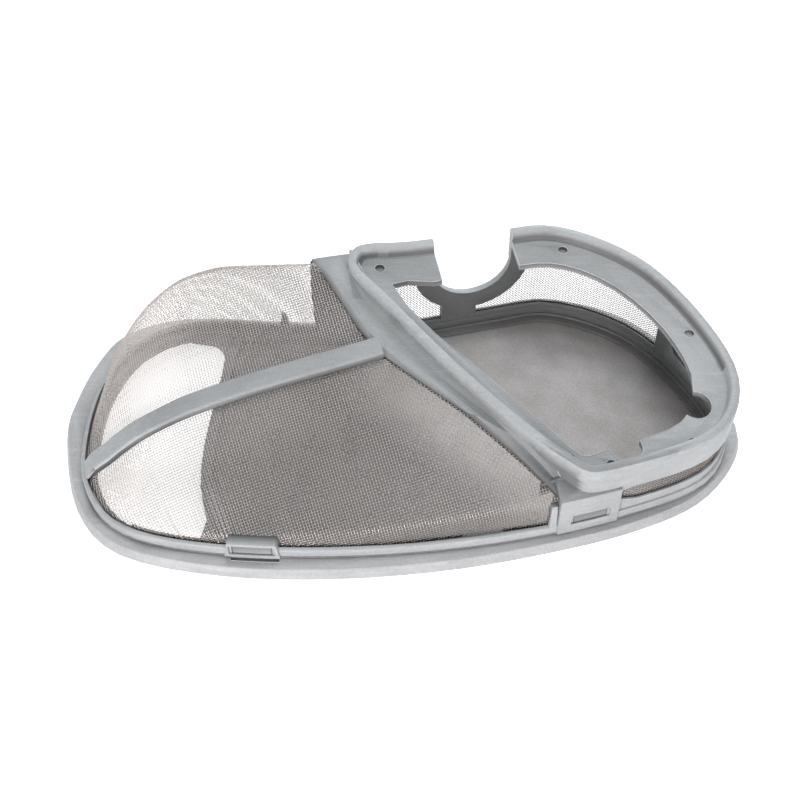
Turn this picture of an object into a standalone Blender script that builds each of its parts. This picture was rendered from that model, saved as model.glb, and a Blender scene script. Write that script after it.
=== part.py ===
# Dishwasher sump filter: a clipped-on base frame, a one-piece upper frame with a raised
# box, a ribbed dome of woven mesh, three mesh windows and a fine mesh floor.
import bpy
import bmesh
from math import cos, sin, pi, radians
from mathutils import Vector

# Every size below is in millimetres and becomes metres when a mesh is made.
MM = 0.001

# How far joined pieces run into each other, and heights clear of everything for cuts
LAP = 0.6
CUT_FLOOR = -2.0
CUT_TOP = 80.0

# Plan: the knots further down are drawn on a sheet of this size, then stretched.
SHEET_LENGTH = 243.0
SHEET_WIDTH = 125.0
FRAME_LENGTH = 243.0
FRAME_WIDTH = 125.0

# Base frame
FLANGE_HEIGHT = 4.5
FLANGE_DRAFT = 1.1
FLANGE_EDGE = 0.5
BASE_WEB_TOP = 3.4
BASE_WEB_BOTTOM = 0.9
BASE_STEP_INSET = 4.3
FLOOR_BORDER = 7.2
OUTLET_BORDER = 5.2
FLOOR_BAR_WIDTH = 4.0

# Upper frame, ring and wall
SEAT_GAP = 0.3
RING_HEIGHT = 4.2
RING_THICKNESS = 3.9
BEAD_WIDTH = 1.6
BEAD_STEP = 0.9
RING_EDGE = 0.35
SILL_HEIGHT = 4.0
BACK_SILL_HEIGHT = 0.8
WALL_SETBACK = 1.0
WALL_THICKNESS = 2.6
WALL_CHAMFER = 0.8

# Upper frame, rim: a plane that falls to the right and to the front
RIM_HEIGHT = 46.9
RIM_SLOPE_X = -0.075
RIM_SLOPE_Y = 0.108
RIM_BAND = 14.0
BACK_BAND = 12.0
RIM_PROUD = 0.3
RIM_TOP_WIDTH = 3.4
RIM_ROUND = 1.1
RIM_INNER_ROUND = 0.9
RIM_FILLET = 1.5
LEDGE_DROP = 4.0
LEDGE_THICKNESS = 2.5
LEDGE_NOTCH_RADIUS = 6.0
DIMPLE_RADIUS = 2.0
DIMPLE_DEPTH = 1.4

# Saddle cut for the pipe
SADDLE_RADIUS = 15.75
SADDLE_BOTTOM = 22.0
SADDLE_BAND = 8.0
SADDLE_TURN = 12.0
SADDLE_REACH = (-9.0, 24.0)
SADDLE_STEPS = 16

# Rib and cross frame
RIB_WIDTH = 9.0
RIB_THICKNESS = 2.8
RIB_EDGE = 0.8
RIB_FOOT = 0.8
RIB_DIP = 2.4
RIB_BEND = (1.7, 1.1, 0.5)
RIB_SECTIONS = 22
CROSS_THICKNESS = 2.4
CROSS_LIP = 1.9
CROSS_VALLEY = 2.6
CROSS_EDGE = 0.9
CROSS_FOOT_WIDTH = 16.0
CROSS_RAIL_DROP = 4.6
RIB_TAIL = 2.5
SEAM_WIDTH = 0.7
SEAM_DEPTH = 5.0
SEAM_TOP = 0.8

# Cross frame's profiles, from the mesh edge: share of the width and share of the valley
CROSS_TOP_PROFILE = [(0.14, 0.0), (0.36, 0.4), (0.66, 1.0), (0.84, 0.8), (1.0, 0.15)]
CROSS_UNDER_PROFILE = [(0.6, 0.3), (0.2, 0.0)]

# Corner block and clips
BLOCK_SHELF = 24.0
BLOCK_SLOPE = 0.35
BLOCK_DEPTH = 7.5
CLIP_PAD = 0.8
CLIP_RECESS_BOTTOM = 6.6
CLIP_RECESS_HEIGHT = 4.8
CLIP_TAB_RISE = 1.4
CLIP_TAB_LEAN = 1.3
BLOCK_RECESS_BOTTOM = 9.6
CLIP_TONGUE_THICKNESS = 1.1
CLIP_TAB_WIDTH = 20.0
CLIP_RECESS_WIDTH = 16.5
CLIP_SLOT_DEPTH = 1.6
FINGER_WIDTH = 4.4
FINGER_HEIGHT = 9.0
EAR_WIDTH = 3.0
EAR_HEIGHT = 11.5

# Mesh sheets
MESH_THICKNESS = 0.6
MESH_CLEARANCE = 0.3
MESH_BITE = 1.7
MESH_BAR = 1.3
FLOOR_PITCH = 13.5
FLOOR_HOLE = 10.5

# Heights that follow from the sizes above
SEAT = FLANGE_HEIGHT + SEAT_GAP
RING_TOP = SEAT + RING_HEIGHT
SILL = RING_TOP + SILL_HEIGHT
BACK_SILL = RING_TOP + BACK_SILL_HEIGHT
WALL_INNER = WALL_SETBACK + WALL_THICKNESS
MESH_DEPTH = WALL_SETBACK + WALL_THICKNESS / 2
GROOVE = MESH_THICKNESS + 2 * MESH_CLEARANCE
FLOOR_MESH_Z = (BASE_WEB_TOP + BASE_WEB_BOTTOM) / 2

# Knots of the upper frame's outer outline, clockwise from the left tip
OUTLINE_KNOTS = [(-120, -10), (-117, 18), (-105, 41), (-82, 52), (-45, 50.5), (-5, 50),
                 (35, 59), (62, 63.5), (92, 50.4), (112.8, 25), (124, -5), (113.5, -30),
                 (80, -45.5), (35, -57), (-15, -62.5), (-65, -61.5), (-100, -53), (-116, -34)]

# Knots of the base flange's outline, clockwise from the left tip
FLANGE_KNOTS = [(-128.5, -5), (-127.5, 12), (-122.5, 31), (-112.5, 48), (-88, 57.5),
                (-45, 56), (-5, 55.6), (35, 64.2), (62, 68.8), (88, 61), (108, 43.5),
                (122.5, 22), (130.6, -1), (125.8, -18.4), (110.5, -36), (88, -47.6),
                (60, -56.4), (21.4, -64.8), (-21.3, -69.1), (-64, -67.8), (-101, -58.8),
                (-119.5, -38.7)]

# Where the rim leaves the outline at the back and at the front, and its knots between
RIM_BACK_X = -9.0
RIM_FRONT_X = 74.0
RIM_CORNER_KNOTS = [(65.5, -49.2), (58, -44.9), (49, -38), (35.3, -25.2), (19.5, -9),
                    (4, 9), (-8, 23.4), (-17.3, 33.6), (-19.9, 40.3), (-17, 47.3)]
RIM_CORNER_LEAD = 7.0
CORNER_WALL_END_X = 46.0
CORNER_WALL_LAP = 2.0
CROSS_RAIL_KNOTS = [(-10, 28), (10.5, 3.5), (46, -34.5)]
CROSS_CORNER = (56.8, -42.8, 25.5)

# Knots of the open mouth inside the ledge
MOUTH_KNOTS = [(-3, 33.2), (13, 35.5), (30, 41.5), (47, 46.2), (58, 48), (70, 45.5), (83, 38),
               (95, 25.5), (103, 12), (107.5, -2), (106, -15), (101, -23.5), (92, -29),
               (83, -33), (70, -38), (63.8, -39.6), (55, -31), (40, -16), (25.5, -1), (12, 12)]
LEDGE_NOTCHES = [(107.3, -15.5), (80, -35.2)]
LEDGE_DIMPLES = [(-7.7, 40.7), (3.5, 14.9), (59.8, -41), (74.2, -42.8), (104.7, -31.8),
                 (108.9, 17.2), (63.6, 55)]

# Openings of the base: where the outlet and the floor end, on the back and on the front, and
# the bar between them
OUTLET_X = (-84.0, -66.0)
FLOOR_X = (-64.0, -58.0)
FLOOR_BAR_KNOTS = [(-75, 43.5), (-70.6, 36), (-72.5, 14), (-74.8, -10), (-74.3, -30),
                   (-70.5, -45)]

# Back leg of the cross frame: from x to x, its outer face's insets at the top and its height
BACK_LEG_X = (-33.6, -16.5)
BACK_LEG_INSET = (4.1, 3.0)
BACK_LEG_TOP = 48.6
BACK_LEG_THICKNESS = 3.4

# Places along the outline, by x on the back (1) or the front (-1)
CROSS_BACK_X = -34.0
WALL_BACK_X = -19.5
SADDLE_X = 27.75
WINDOW_LEFT = (-12.0, 16.0)
WINDOW_BACK = (30.0, 104.5)
WINDOW_FRONT = (109.5, 78.5)
WINDOW_ROUND = 1.0
WINDOW_END = 0.45
BLOCK_FRONT_X = (56.5, 78.5)
SEAM_KNOTS = [(49.6, -45.9, 24.6), (58.0, -43.6, 26.6)]
TAB_X = -52.5
BLOCK_SLOT_X = 68.3
BLOCK_SLOT_WIDTH = 15.0
FINGER_X = -46.5
EAR_X = 54.9

# Stations of the dome sheet from the tip to the cross frame. Each has a place on the back
# outline, the shoulder's inset and height there, a place along the rib with the sheet's
# height, a place on the front outline, and the inset and height of the fold there.
TIP = (-117.0, -25.0)
RIB_END = (-9.0, 1.2)
DOME_STATIONS = [
    (-119.7, 2.3, 8.0, 0.00, 8.0, -115.6, 2.3, 8.0),
    (-114.8, 4.4, 18.5, 0.09, 13.2, -107.5, 3.0, 9.2),
    (-104.0, 5.0, 27.5, 0.21, 22.8, -94.0, 3.4, 9.8),
    (-88.5, 5.4, 36.5, 0.36, 30.2, -74.0, 3.8, 10.4),
    (-70.0, 6.0, 43.0, 0.56, 35.6, -46.0, 4.4, 11.6),
    (-51.0, 6.2, 45.8, 0.78, 39.8, -4.0, 5.0, 14.4),
    (CROSS_BACK_X, 7.2, 48.2, 1.00, 43.6, 56.5, 3.6, 21.8),
]
DOME_CROWN_BACK = 1.2
DOME_CROWN_FRONT = [0.3, 0.8, 1.4, 1.8, 2.2, 3.2, 5.0]
SPLINE_PULL = 0.8

# How far each swept piece's corners stand past the outline's own, so none meet edge to edge
WALL_SHIFT = 0.5
WINDOW_SHIFT = 0.25
BLOCK_SHIFT = 0.65
LEG_SHIFT = 0.8

# Facets
OUTLINE_STEPS = 5
FLANGE_STEPS = 4
RIM_STEPS = 3
DOME_COLUMNS = 12
DOME_ROW_STEPS = 2


def clear_scene():
    for old in list(bpy.data.objects):
        bpy.data.objects.remove(old, do_unlink=True)


def material(name, colour, rough, metal=0.0):
    made = bpy.data.materials.new(name)
    made.use_nodes = True
    shader = made.node_tree.nodes["Principled BSDF"]
    shader.inputs["Base Color"].default_value = (*colour, 1.0)
    shader.inputs["Roughness"].default_value = rough
    shader.inputs["Metallic"].default_value = metal
    return made


def spot(x, y):
    """A place in plan, stretched with the frame."""
    return Vector((x * FRAME_LENGTH / SHEET_LENGTH, y * FRAME_WIDTH / SHEET_WIDTH))


def cardinal(before, start, end, after, t, pull=1.0):
    """A point between start and end on a smooth curve through all four."""
    leave = (end - before) * 0.5 * pull
    reach = (after - start) * 0.5 * pull
    return (start * (2 * t**3 - 3 * t**2 + 1) + leave * (t**3 - 2 * t**2 + t)
            + end * (3 * t**2 - 2 * t**3) + reach * (t**3 - t**2))


def smooth_closed(knots, steps):
    count = len(knots)
    return [cardinal(knots[i - 1], knots[i], knots[(i + 1) % count], knots[(i + 2) % count],
                     k / steps) for i in range(count) for k in range(steps)]


def smooth_open(knots, steps, pull=1.0):
    ends = [knots[0] * 2 - knots[1]] + list(knots) + [knots[-1] * 2 - knots[-2]]
    made = [cardinal(*ends[i:i + 4], k / steps, pull)
            for i in range(len(knots) - 1) for k in range(steps)]
    return made + [knots[-1].copy()]


def resample(points, count):
    """The same open line with evenly spaced points."""
    reach = [0.0]
    for a, b in zip(points, points[1:]):
        reach.append(reach[-1] + (b - a).length)
    made = []
    index = 0
    for k in range(count + 1):
        want = reach[-1] * k / count
        while index < len(points) - 2 and reach[index + 1] < want:
            index += 1
        span = reach[index + 1] - reach[index]
        share = (want - reach[index]) / span if span else 0.0
        made.append(points[index].lerp(points[index + 1], min(max(share, 0.0), 1.0)))
    return made


class Outline:
    """A closed clockwise line that gives places and outward normals along its length."""

    def __init__(self, points):
        self.points = points
        self.reach = [0.0]
        for a, b in zip(points, points[1:] + points[:1]):
            self.reach.append(self.reach[-1] + (b - a).length)
        self.length = self.reach[-1]

    def normal(self, index):
        count = len(self.points)
        along = self.points[(index + 1) % count] - self.points[index - 1]
        return Vector((-along.y, along.x)).normalized()

    def at(self, s):
        s = s % self.length
        index = 0
        while self.reach[index + 1] < s:
            index += 1
        count = len(self.points)
        share = (s - self.reach[index]) / (self.reach[index + 1] - self.reach[index])
        place = self.points[index].lerp(self.points[(index + 1) % count], share)
        outward = self.normal(index).lerp(self.normal((index + 1) % count), share)
        return place, outward.normalized()

    def find(self, value, side, axis=0):
        """How far along the outline it crosses an x on the back (1) or the front (-1), or,
        with axis 1, a y on the left (1) or the right (-1)."""
        count = len(self.points)
        for index in range(count):
            a, b = self.points[index], self.points[(index + 1) % count]
            low, high = sorted((a[axis], b[axis]))
            if (b[axis] - a[axis]) * side > 0 and low <= value <= high:
                share = (value - a[axis]) / (b[axis] - a[axis])
                return self.reach[index] + share * (b - a).length
        raise ValueError("the outline does not reach %.1f" % value)

    def stations(self, s0, s1, shift=0.0):
        """Distances from s0 to s1, at the outline's own corners or a share past each."""
        if s1 < s0:
            s1 += self.length
        own = [a + (b - a) * shift + lap for lap in (0.0, self.length)
               for a, b in zip(self.reach, self.reach[1:])]
        return [s0] + [r for r in own if s0 + 0.8 < r < s1 - 0.8] + [s1]

    def offset(self, distance):
        return [p + self.normal(i) * distance for i, p in enumerate(self.points)]


OUTLINE = Outline(smooth_closed([spot(*k) for k in OUTLINE_KNOTS], OUTLINE_STEPS))
FLANGE = Outline(smooth_closed([spot(*k) for k in FLANGE_KNOTS], FLANGE_STEPS))


def along_x(x, side):
    return OUTLINE.find(x * FRAME_LENGTH / SHEET_LENGTH, side)


def rim_z(place, drop=0.0):
    return RIM_HEIGHT + RIM_SLOPE_X * place.x + RIM_SLOPE_Y * place.y - drop


def middle(points):
    """The middle of the box round some places in plan."""
    xs, ys = [p.x for p in points], [p.y for p in points]
    return Vector(((min(xs) + max(xs)) / 2, (min(ys) + max(ys)) / 2))


# The part's own origin: the middle of the flange's box, on the ground
ORIGIN = middle(FLANGE.points)


def collection(name, hidden=False):
    made = bpy.data.collections.new(name)
    bpy.context.scene.collection.children.link(made)
    made.hide_render = hidden
    return made


def put(name, bm, home, paint=None):
    """A bmesh in millimetres becomes an object in metres."""
    bmesh.ops.remove_doubles(bm, verts=bm.verts, dist=0.0005)
    bmesh.ops.recalc_face_normals(bm, faces=bm.faces)
    uneven = [face for face in bm.faces if len(face.verts) > 3]
    bmesh.ops.connect_verts_nonplanar(bm, faces=uneven, angle_limit=0.0005)
    bmesh.ops.translate(bm, vec=(-ORIGIN.x, -ORIGIN.y, 0.0), verts=bm.verts)
    bmesh.ops.scale(bm, vec=(MM, MM, MM), verts=bm.verts)
    mesh = bpy.data.meshes.new(name)
    bm.to_mesh(mesh)
    bm.free()
    made = bpy.data.objects.new(name, mesh)
    home.objects.link(made)
    if paint:
        mesh.materials.append(paint)
    else:
        made.hide_render = True
        made.display_type = "WIRE"
    return made


def loft(sections, ring=False):
    """Skin like sections, each a closed loop of points; a ring joins its last to its first."""
    bm = bmesh.new()
    loops = [[bm.verts.new(p) for p in section] for section in sections]
    pairs = list(zip(loops, loops[1:] + loops[:1])) if ring else list(zip(loops, loops[1:]))
    for a, b in pairs:
        size = len(a)
        for k in range(size):
            bm.faces.new((a[k], a[(k + 1) % size], b[(k + 1) % size], b[k]))
    if not ring:
        bm.faces.new(loops[0])
        bm.faces.new(list(reversed(loops[-1])))
    return bm


def stack(rings):
    """Closed loops one above or inside another, capped at both ends, as a dish is."""
    return loft(rings)


def strip(s0, s1, profile, shift):
    """Sweep a profile of (outward, height) pairs along the outline from s0 to s1."""
    sections = []
    for s in OUTLINE.stations(s0, s1, shift):
        place, outward = OUTLINE.at(s)
        section = [(place.x + outward.x * n, place.y + outward.y * n, z)
                   for n, z in profile(place)]
        sections.append(section)
    return loft(sections)


def prism(points, bottom, top):
    return stack([[(p.x, p.y, bottom) for p in points], [(p.x, p.y, top) for p in points]])


def combine(target, others, operation):
    for other in others:
        step = target.modifiers.new(operation.lower(), "BOOLEAN")
        step.operation = operation
        step.solver = "EXACT"
        step.object = other


def round_prism(centre, radius, bottom, top, sides=24):
    points = [centre + Vector((cos(2 * pi * k / sides), sin(2 * pi * k / sides))) * radius
              for k in range(sides)]
    return prism(points, bottom, top)


def rim_outline():
    """The D of the rim: along the outer outline on the right, straight across on the left."""
    start = along_x(RIM_BACK_X, 1)
    end = along_x(RIM_FRONT_X, -1)
    main = []
    for s in OUTLINE.stations(start, end):
        place, outward = OUTLINE.at(s)
        main.append(place + outward * RIM_PROUD)
    before = main[-1] + (main[-2] - main[-1]).normalized() * RIM_CORNER_LEAD
    after = main[0] + (main[1] - main[0]).normalized() * RIM_CORNER_LEAD
    knots = [before, main[-1]] + [spot(*k) for k in RIM_CORNER_KNOTS] + [main[0], after]
    corner = smooth_open(knots, RIM_STEPS)
    return Outline(main + corner[RIM_STEPS + 1:-RIM_STEPS - 1])


RIM = rim_outline()


def rim_dish():
    """The rounded ridge, the fillet inside it and the ledge, before the mouth is cut."""
    top = RIM_TOP_WIDTH
    big, small = RIM_ROUND, RIM_INNER_ROUND
    steps = [(0.0, LEDGE_DROP + LEDGE_THICKNESS), (0.0, big), (-big * 0.3, big * 0.3), (-big, 0.0),
             (-top + small, 0.0), (-top + small * 0.1, small * 0.5),
             (-top - RIM_FILLET * 0.4, LEDGE_DROP * 0.55),
             (-top - RIM_FILLET * 0.6, LEDGE_DROP * 0.9), (-top - RIM_FILLET, LEDGE_DROP)]
    rings = []
    for inward, drop in steps:
        rings.append([(p.x, p.y, rim_z(p, drop)) for p in RIM.offset(inward)])
    return stack(rings)


def wall_profile(place):
    high, band = rim_z(place, LEDGE_DROP + LAP), rim_z(place, RIM_BAND)
    low = RING_TOP - BEAD_STEP - LAP
    return [(0.0, high), (0.0, band + WALL_CHAMFER), (-WALL_SETBACK, band), (-WALL_SETBACK, low),
            (-WALL_INNER, low), (-WALL_INNER, high)]


def ring_profile(_place):
    edge, bead, inner = RING_EDGE, BEAD_WIDTH, RING_TOP - BEAD_STEP
    return [(-edge, SEAT), (0.0, SEAT + edge), (0.0, RING_TOP - 2.5 * edge),
            (-edge, RING_TOP - 0.6 * edge), (-2.5 * edge, RING_TOP), (-bead, RING_TOP),
            (-bead - edge, inner), (-RING_THICKNESS, inner), (-RING_THICKNESS, SEAT)]


def dome_grid():
    """Control rows of the dome sheet: ring, shoulder, crown, rib, crown, fold, ring."""
    tip, end = spot(*TIP), spot(*RIB_END)
    columns = []
    for number, station in enumerate(DOME_STATIONS):
        back, inset_b, shoulder, share, top, front, inset_f, fold = station
        place_b, out_b = OUTLINE.at(along_x(back, 1))
        place_f, out_f = OUTLINE.at(along_x(front, -1))
        ring_b = place_b - out_b * MESH_DEPTH
        ring_f = place_f - out_f * MESH_DEPTH
        high_b = place_b - out_b * inset_b
        high_f = place_f - out_f * inset_f
        rib = tip.lerp(end, share)
        rows = [Vector((*ring_b, RING_TOP - BEAD_STEP)), Vector((*high_b, shoulder)), None,
                Vector((*rib, top)), None, Vector((*high_f, fold)),
                Vector((*ring_f, RING_TOP - BEAD_STEP))]
        rows[2] = rows[1].lerp(rows[3], 0.5) + Vector((0, 0, DOME_CROWN_BACK))
        rows[4] = rows[3].lerp(rows[5], 0.5) + Vector((0, 0, DOME_CROWN_FRONT[number]))
        if number == 0:
            rows = tip_row()
        columns.append(rows)
    return columns


def tip_row():
    """Places on the ring round the tip, from the first back to the first front station."""
    start = along_x(DOME_STATIONS[0][0], 1)
    tip = OUTLINE.find(spot(*TIP).y, 1, axis=1)
    end = along_x(DOME_STATIONS[0][5], -1)
    if start < tip:
        start += OUTLINE.length
    stops = [start + (tip - start) * k / 3 for k in range(3)]
    stops += [tip + (end - tip) * k / 3 for k in range(4)]
    row = []
    for s in stops:
        place, outward = OUTLINE.at(s)
        row.append(Vector((*(place - outward * MESH_DEPTH), RING_TOP - BEAD_STEP)))
    return row


def dome_points():
    """The dome sheet's middle surface as columns of points, ring to ring."""
    across = [smooth_open(column, DOME_ROW_STEPS, SPLINE_PULL) for column in dome_grid()]
    lines = []
    for row in zip(*across):
        lines.append(resample(smooth_open(list(row), 4, SPLINE_PULL), DOME_COLUMNS))
    return [[line[i] for line in lines] for i in range(DOME_COLUMNS + 1)]


def dome_sheet(points, grow):
    """The sheet's surface, run down into the ring's groove and on into the cross frame's."""
    down = Vector((0, 0, -MESH_BITE - grow))
    wide = [[column[0] + down] + column + [column[-1] + down] for column in points]
    tip = [p + down for p in points[0]]
    last, prior = wide[-1], wide[-2]
    edge = [p + (p - q).normalized() * (MESH_BITE + grow) for p, q in zip(last, prior)]
    return [[tip[0]] + tip + [tip[-1]]] + wide + [edge]


def sheet_mesh(points):
    bm = bmesh.new()
    verts = [[bm.verts.new(p) for p in column] for column in points]
    cells = []
    for i in range(len(verts) - 1):
        for j in range(len(verts[0]) - 1):
            face = bm.faces.new((verts[i][j], verts[i + 1][j], verts[i + 1][j + 1], verts[i][j + 1]))
            cells.append((i, j, face))
    bm.normal_update()
    return bm, cells


def thicken(target, thickness):
    shell = target.modifiers.new("thickness", "SOLIDIFY")
    shell.thickness = thickness * MM
    shell.offset = 0.0
    shell.use_even_offset = True


def open_cells(bm, faces, bar):
    """Leave a grid: each cell that is wide enough keeps a bar round its gap."""
    faces = [face for face in faces if min(e.calc_length() for e in face.edges) > 3 * bar]
    bmesh.ops.inset_individual(bm, faces=faces, thickness=bar, use_even_offset=True)
    bmesh.ops.delete(bm, geom=faces, context="FACES")


def window_range(window, sides):
    return along_x(window[0], sides[0]), along_x(window[1], sides[1])


WINDOWS = {
    "back_left_window_mesh": (window_range(WINDOW_LEFT, (1, 1)), 3, 2),
    "back_right_window_mesh": (window_range(WINDOW_BACK, (1, 1)), 9, 3),
    "front_right_window_mesh": (window_range(WINDOW_FRONT, (1, -1)), 12, 1),
}


def window_reach(name, place):
    """Bottom and top of a window's wall opening."""
    if name.startswith("back"):
        return BACK_SILL, rim_z(place, BACK_BAND)
    return SILL, rim_z(place, RIM_BAND)


def window_height(name, place, s, s0, s1):
    """Bottom and top of a window, drawn in at its rounded ends."""
    low, high = window_reach(name, place)
    half = (high - low) / 2
    if name.startswith("back"):
        return low, high
    radius = WINDOW_ROUND * half
    near = min(s - s0, s1 - s, radius)
    ease = (1.0 - (1.0 - near / radius) ** 2) ** 0.5
    half *= WINDOW_END + (1.0 - WINDOW_END) * ease
    return (low + high) / 2 - half, (low + high) / 2 + half


def window_cutter(name, home):
    (s0, s1), _columns, _rows = WINDOWS[name]
    if s1 < s0:
        s1 += OUTLINE.length
    sections = []
    for s in OUTLINE.stations(s0, s1, WINDOW_SHIFT):
        place, outward = OUTLINE.at(s)
        low, high = window_height(name, place, s, s0, s1)
        outer, inner = place + outward * 3, place - outward * (WALL_INNER + 3)
        sections.append([(*outer, low), (*outer, high), (*inner, high), (*inner, low)])
    return put(name + "_hole", loft(sections), home)


def window_sheet(name, columns, rows, grow):
    """The mesh strip's middle surface, wider than its window by the bite into the frame."""
    (s0, s1), _columns, _rows = WINDOWS[name]
    if s1 < s0:
        s1 += OUTLINE.length
    bite = MESH_BITE + grow
    points = []
    for i in range(columns + 1):
        share = i / columns
        place, outward = OUTLINE.at(s0 - bite + (s1 - s0 + 2 * bite) * share)
        low, high = window_reach(name, place)
        low, high = low - bite, high + bite
        middle = place - outward * MESH_DEPTH
        points.append([Vector((*middle, low + (high - low) * k / rows)) for k in range(rows + 1)])
    return points


def saddle_shape(name, radius, home):
    """A round-bottomed slot along the wall's normal, open at the top."""
    place, _outward = OUTLINE.at(along_x(SADDLE_X, 1))
    centre_z = SADDLE_BOTTOM + SADDLE_RADIUS
    section = [(-radius, CUT_TOP)]
    for k in range(SADDLE_STEPS + 1):
        angle = pi + pi * k / SADDLE_STEPS
        section.append((radius * cos(angle), radius * sin(angle) + centre_z))
    section.append((radius, CUT_TOP))
    turn = radians(SADDLE_TURN)
    right, inward = Vector((cos(turn), sin(turn))), Vector((sin(turn), -cos(turn)))
    ends = []
    for depth in SADDLE_REACH:
        base = place + inward * depth
        ends.append([(base.x + right.x * a, base.y + right.y * a, z) for a, z in section])
    return put(name, loft(ends), home)


def cross_sections(points):
    """Sections of the cross frame from the mesh edge to the rim, ring to ring."""
    sections = []
    for number, (a, b) in enumerate(zip(points[-1], cross_rim_side())):
        part = number / DOME_ROW_STEPS
        up = cross_up(part)
        valley = CROSS_VALLEY * min(max(part - 1.0, 0.0), 1.0) * min(max(5.5 - part, 0.0), 1.0)
        across = b - a
        section = [a + up * CROSS_EDGE]
        section += [a + across * share + up * (CROSS_LIP - sink * valley)
                    for share, sink in CROSS_TOP_PROFILE]
        section.append(b - up * CROSS_THICKNESS)
        section += [a + across * share - up * (CROSS_THICKNESS + sink * valley)
                    for share, sink in CROSS_UNDER_PROFILE]
        section.append(a - up * CROSS_EDGE)
        sections.append(section)
    return sections


def cross_up(part):
    """The way the cross frame looks: back on its back leg, up on top, front at the other."""
    _place, out_b = OUTLINE.at(along_x(CROSS_BACK_X + CROSS_FOOT_WIDTH / 2, 1))
    _place, out_f = OUTLINE.at(along_x(BLOCK_FRONT_X[0], -1))
    if part < 3:
        side, lean = Vector((*out_b, 0.0)), min(max(1.6 - part, 0.0), 1.0)
    else:
        side, lean = Vector((*out_f, 0.0)), min(max(part - 4.4, 0.0), 1.0)
    return (side * lean + Vector((0, 0, 1)) * (1.0 - lean)).normalized()


def cross_rim_side():
    """The other edge of the cross frame: down one leg, along under the rim, down the other."""
    back, out_b = OUTLINE.at(along_x(CROSS_BACK_X + CROSS_FOOT_WIDTH, 1))
    front, out_f = OUTLINE.at(along_x(BLOCK_FRONT_X[0] + 5, -1))
    foot_b, top_b = back - out_b * MESH_DEPTH, back - out_b * RING_THICKNESS
    foot_f = front - out_f * (RING_THICKNESS - LAP)
    knots = [Vector((*foot_b, RING_TOP - 3 * LAP)), Vector((*top_b, rim_z(top_b, CROSS_RAIL_DROP)))]
    for x, y in CROSS_RAIL_KNOTS:
        rail = spot(x, y)
        knots.append(Vector((*rail, rim_z(rail, LEDGE_DROP))))
    corner = spot(*CROSS_CORNER[:2])
    knots += [Vector((*corner, CROSS_CORNER[2])), Vector((*foot_f, RING_TOP - 3 * LAP))]
    return smooth_open(knots, DOME_ROW_STEPS, SPLINE_PULL)


def rib_sections(points):
    """The rib stands on the sheet's middle line, from the ring's bead to the cross frame."""
    tip, end = spot(*TIP), spot(*RIB_END)
    along = (end - tip).normalized()
    side = Vector((-along.y, along.x, 0.0))
    line = smooth_open([column[3] for column in dome_grid()], 4, SPLINE_PULL)
    path = resample(line, RIB_SECTIONS)
    ahead = Vector((*along, 0.0))
    path[0] -= ahead * RIB_FOOT + Vector((0, 0, RIB_DIP))
    for place, bend in zip(path, RIB_BEND):
        place -= side * bend
    path.append(path[-1] + (path[-1] - path[-2]).normalized() * RIB_TAIL)
    half, edge = RIB_WIDTH / 2, RIB_EDGE
    sections = []
    for index, place in enumerate(path):
        before, after = path[max(index - 1, 0)], path[min(index + 1, len(path) - 1)]
        up = (after - before).cross(side).normalized() if index else Vector((0, 0, 1))
        low = place + up * (MESH_THICKNESS / 2 + MESH_CLEARANCE)
        high = low + up * RIB_THICKNESS
        sections.append([low - side * half, high - side * half - up * edge,
                         high - side * (half - edge), high + side * (half - edge),
                         high + side * half - up * edge, low + side * half])
    return sections


def corner_block():
    """The solid corner where the box meets the dome, with its sloping shelf."""
    s1, s0 = along_x(BLOCK_FRONT_X[0], -1), along_x(BLOCK_FRONT_X[1], -1)
    sections = []
    for s in OUTLINE.stations(s0, s1, BLOCK_SHIFT):
        place, outward = OUTLINE.at(s)
        inner = place - outward * BLOCK_DEPTH
        outer = place + outward * CLIP_PAD
        low, edge = SEAT + RING_EDGE, RING_EDGE
        top = BLOCK_SHELF + BLOCK_SLOPE * BLOCK_DEPTH
        sections.append([(*outer, low), (*outer, BLOCK_SHELF - edge),
                         (*(outer - outward * edge), BLOCK_SHELF), (*inner, top), (*inner, low)])
    return loft(sections)


def corner_wall():
    """The rim's own wall above the shelf, where the rim turns away from the outline."""
    s0 = RIM.find(RIM_FRONT_X * FRAME_LENGTH / SHEET_LENGTH + CORNER_WALL_LAP, -1)
    s1 = RIM.find(CORNER_WALL_END_X * FRAME_LENGTH / SHEET_LENGTH, -1)
    sections = []
    for s in RIM.stations(s0, s1, WALL_SHIFT):
        place, outward = RIM.at(s)
        outer = place - outward * RING_EDGE
        inner = outer - outward * WALL_THICKNESS
        high, low = rim_z(place, LEDGE_DROP), BLOCK_SHELF - 3
        sections.append([(*outer, low), (*outer, high), (*inner, high), (*inner, low)])
    return loft(sections)


def back_leg():
    """The flat-topped leg that carries the cross frame's back end, as far as the rim."""
    s0, s1 = along_x(BACK_LEG_X[0], 1), along_x(BACK_LEG_X[1], 1)
    sections = []
    for s in OUTLINE.stations(s0, s1, LEG_SHIFT):
        place, outward = OUTLINE.at(s)
        share = (s - s0) / (s1 - s0)
        top = BACK_LEG_INSET[0] + (BACK_LEG_INSET[1] - BACK_LEG_INSET[0]) * share
        foot, thick = RING_TOP - BEAD_STEP - LAP, BACK_LEG_THICKNESS
        sections.append([(*(place - outward * inset), z) for inset, z in (
            (BEAD_WIDTH, foot), (top, BACK_LEG_TOP - WALL_CHAMFER),
            (top + WALL_CHAMFER, BACK_LEG_TOP), (top + thick, BACK_LEG_TOP),
            (BEAD_WIDTH + MESH_DEPTH, foot))])
    return loft(sections)


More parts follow.
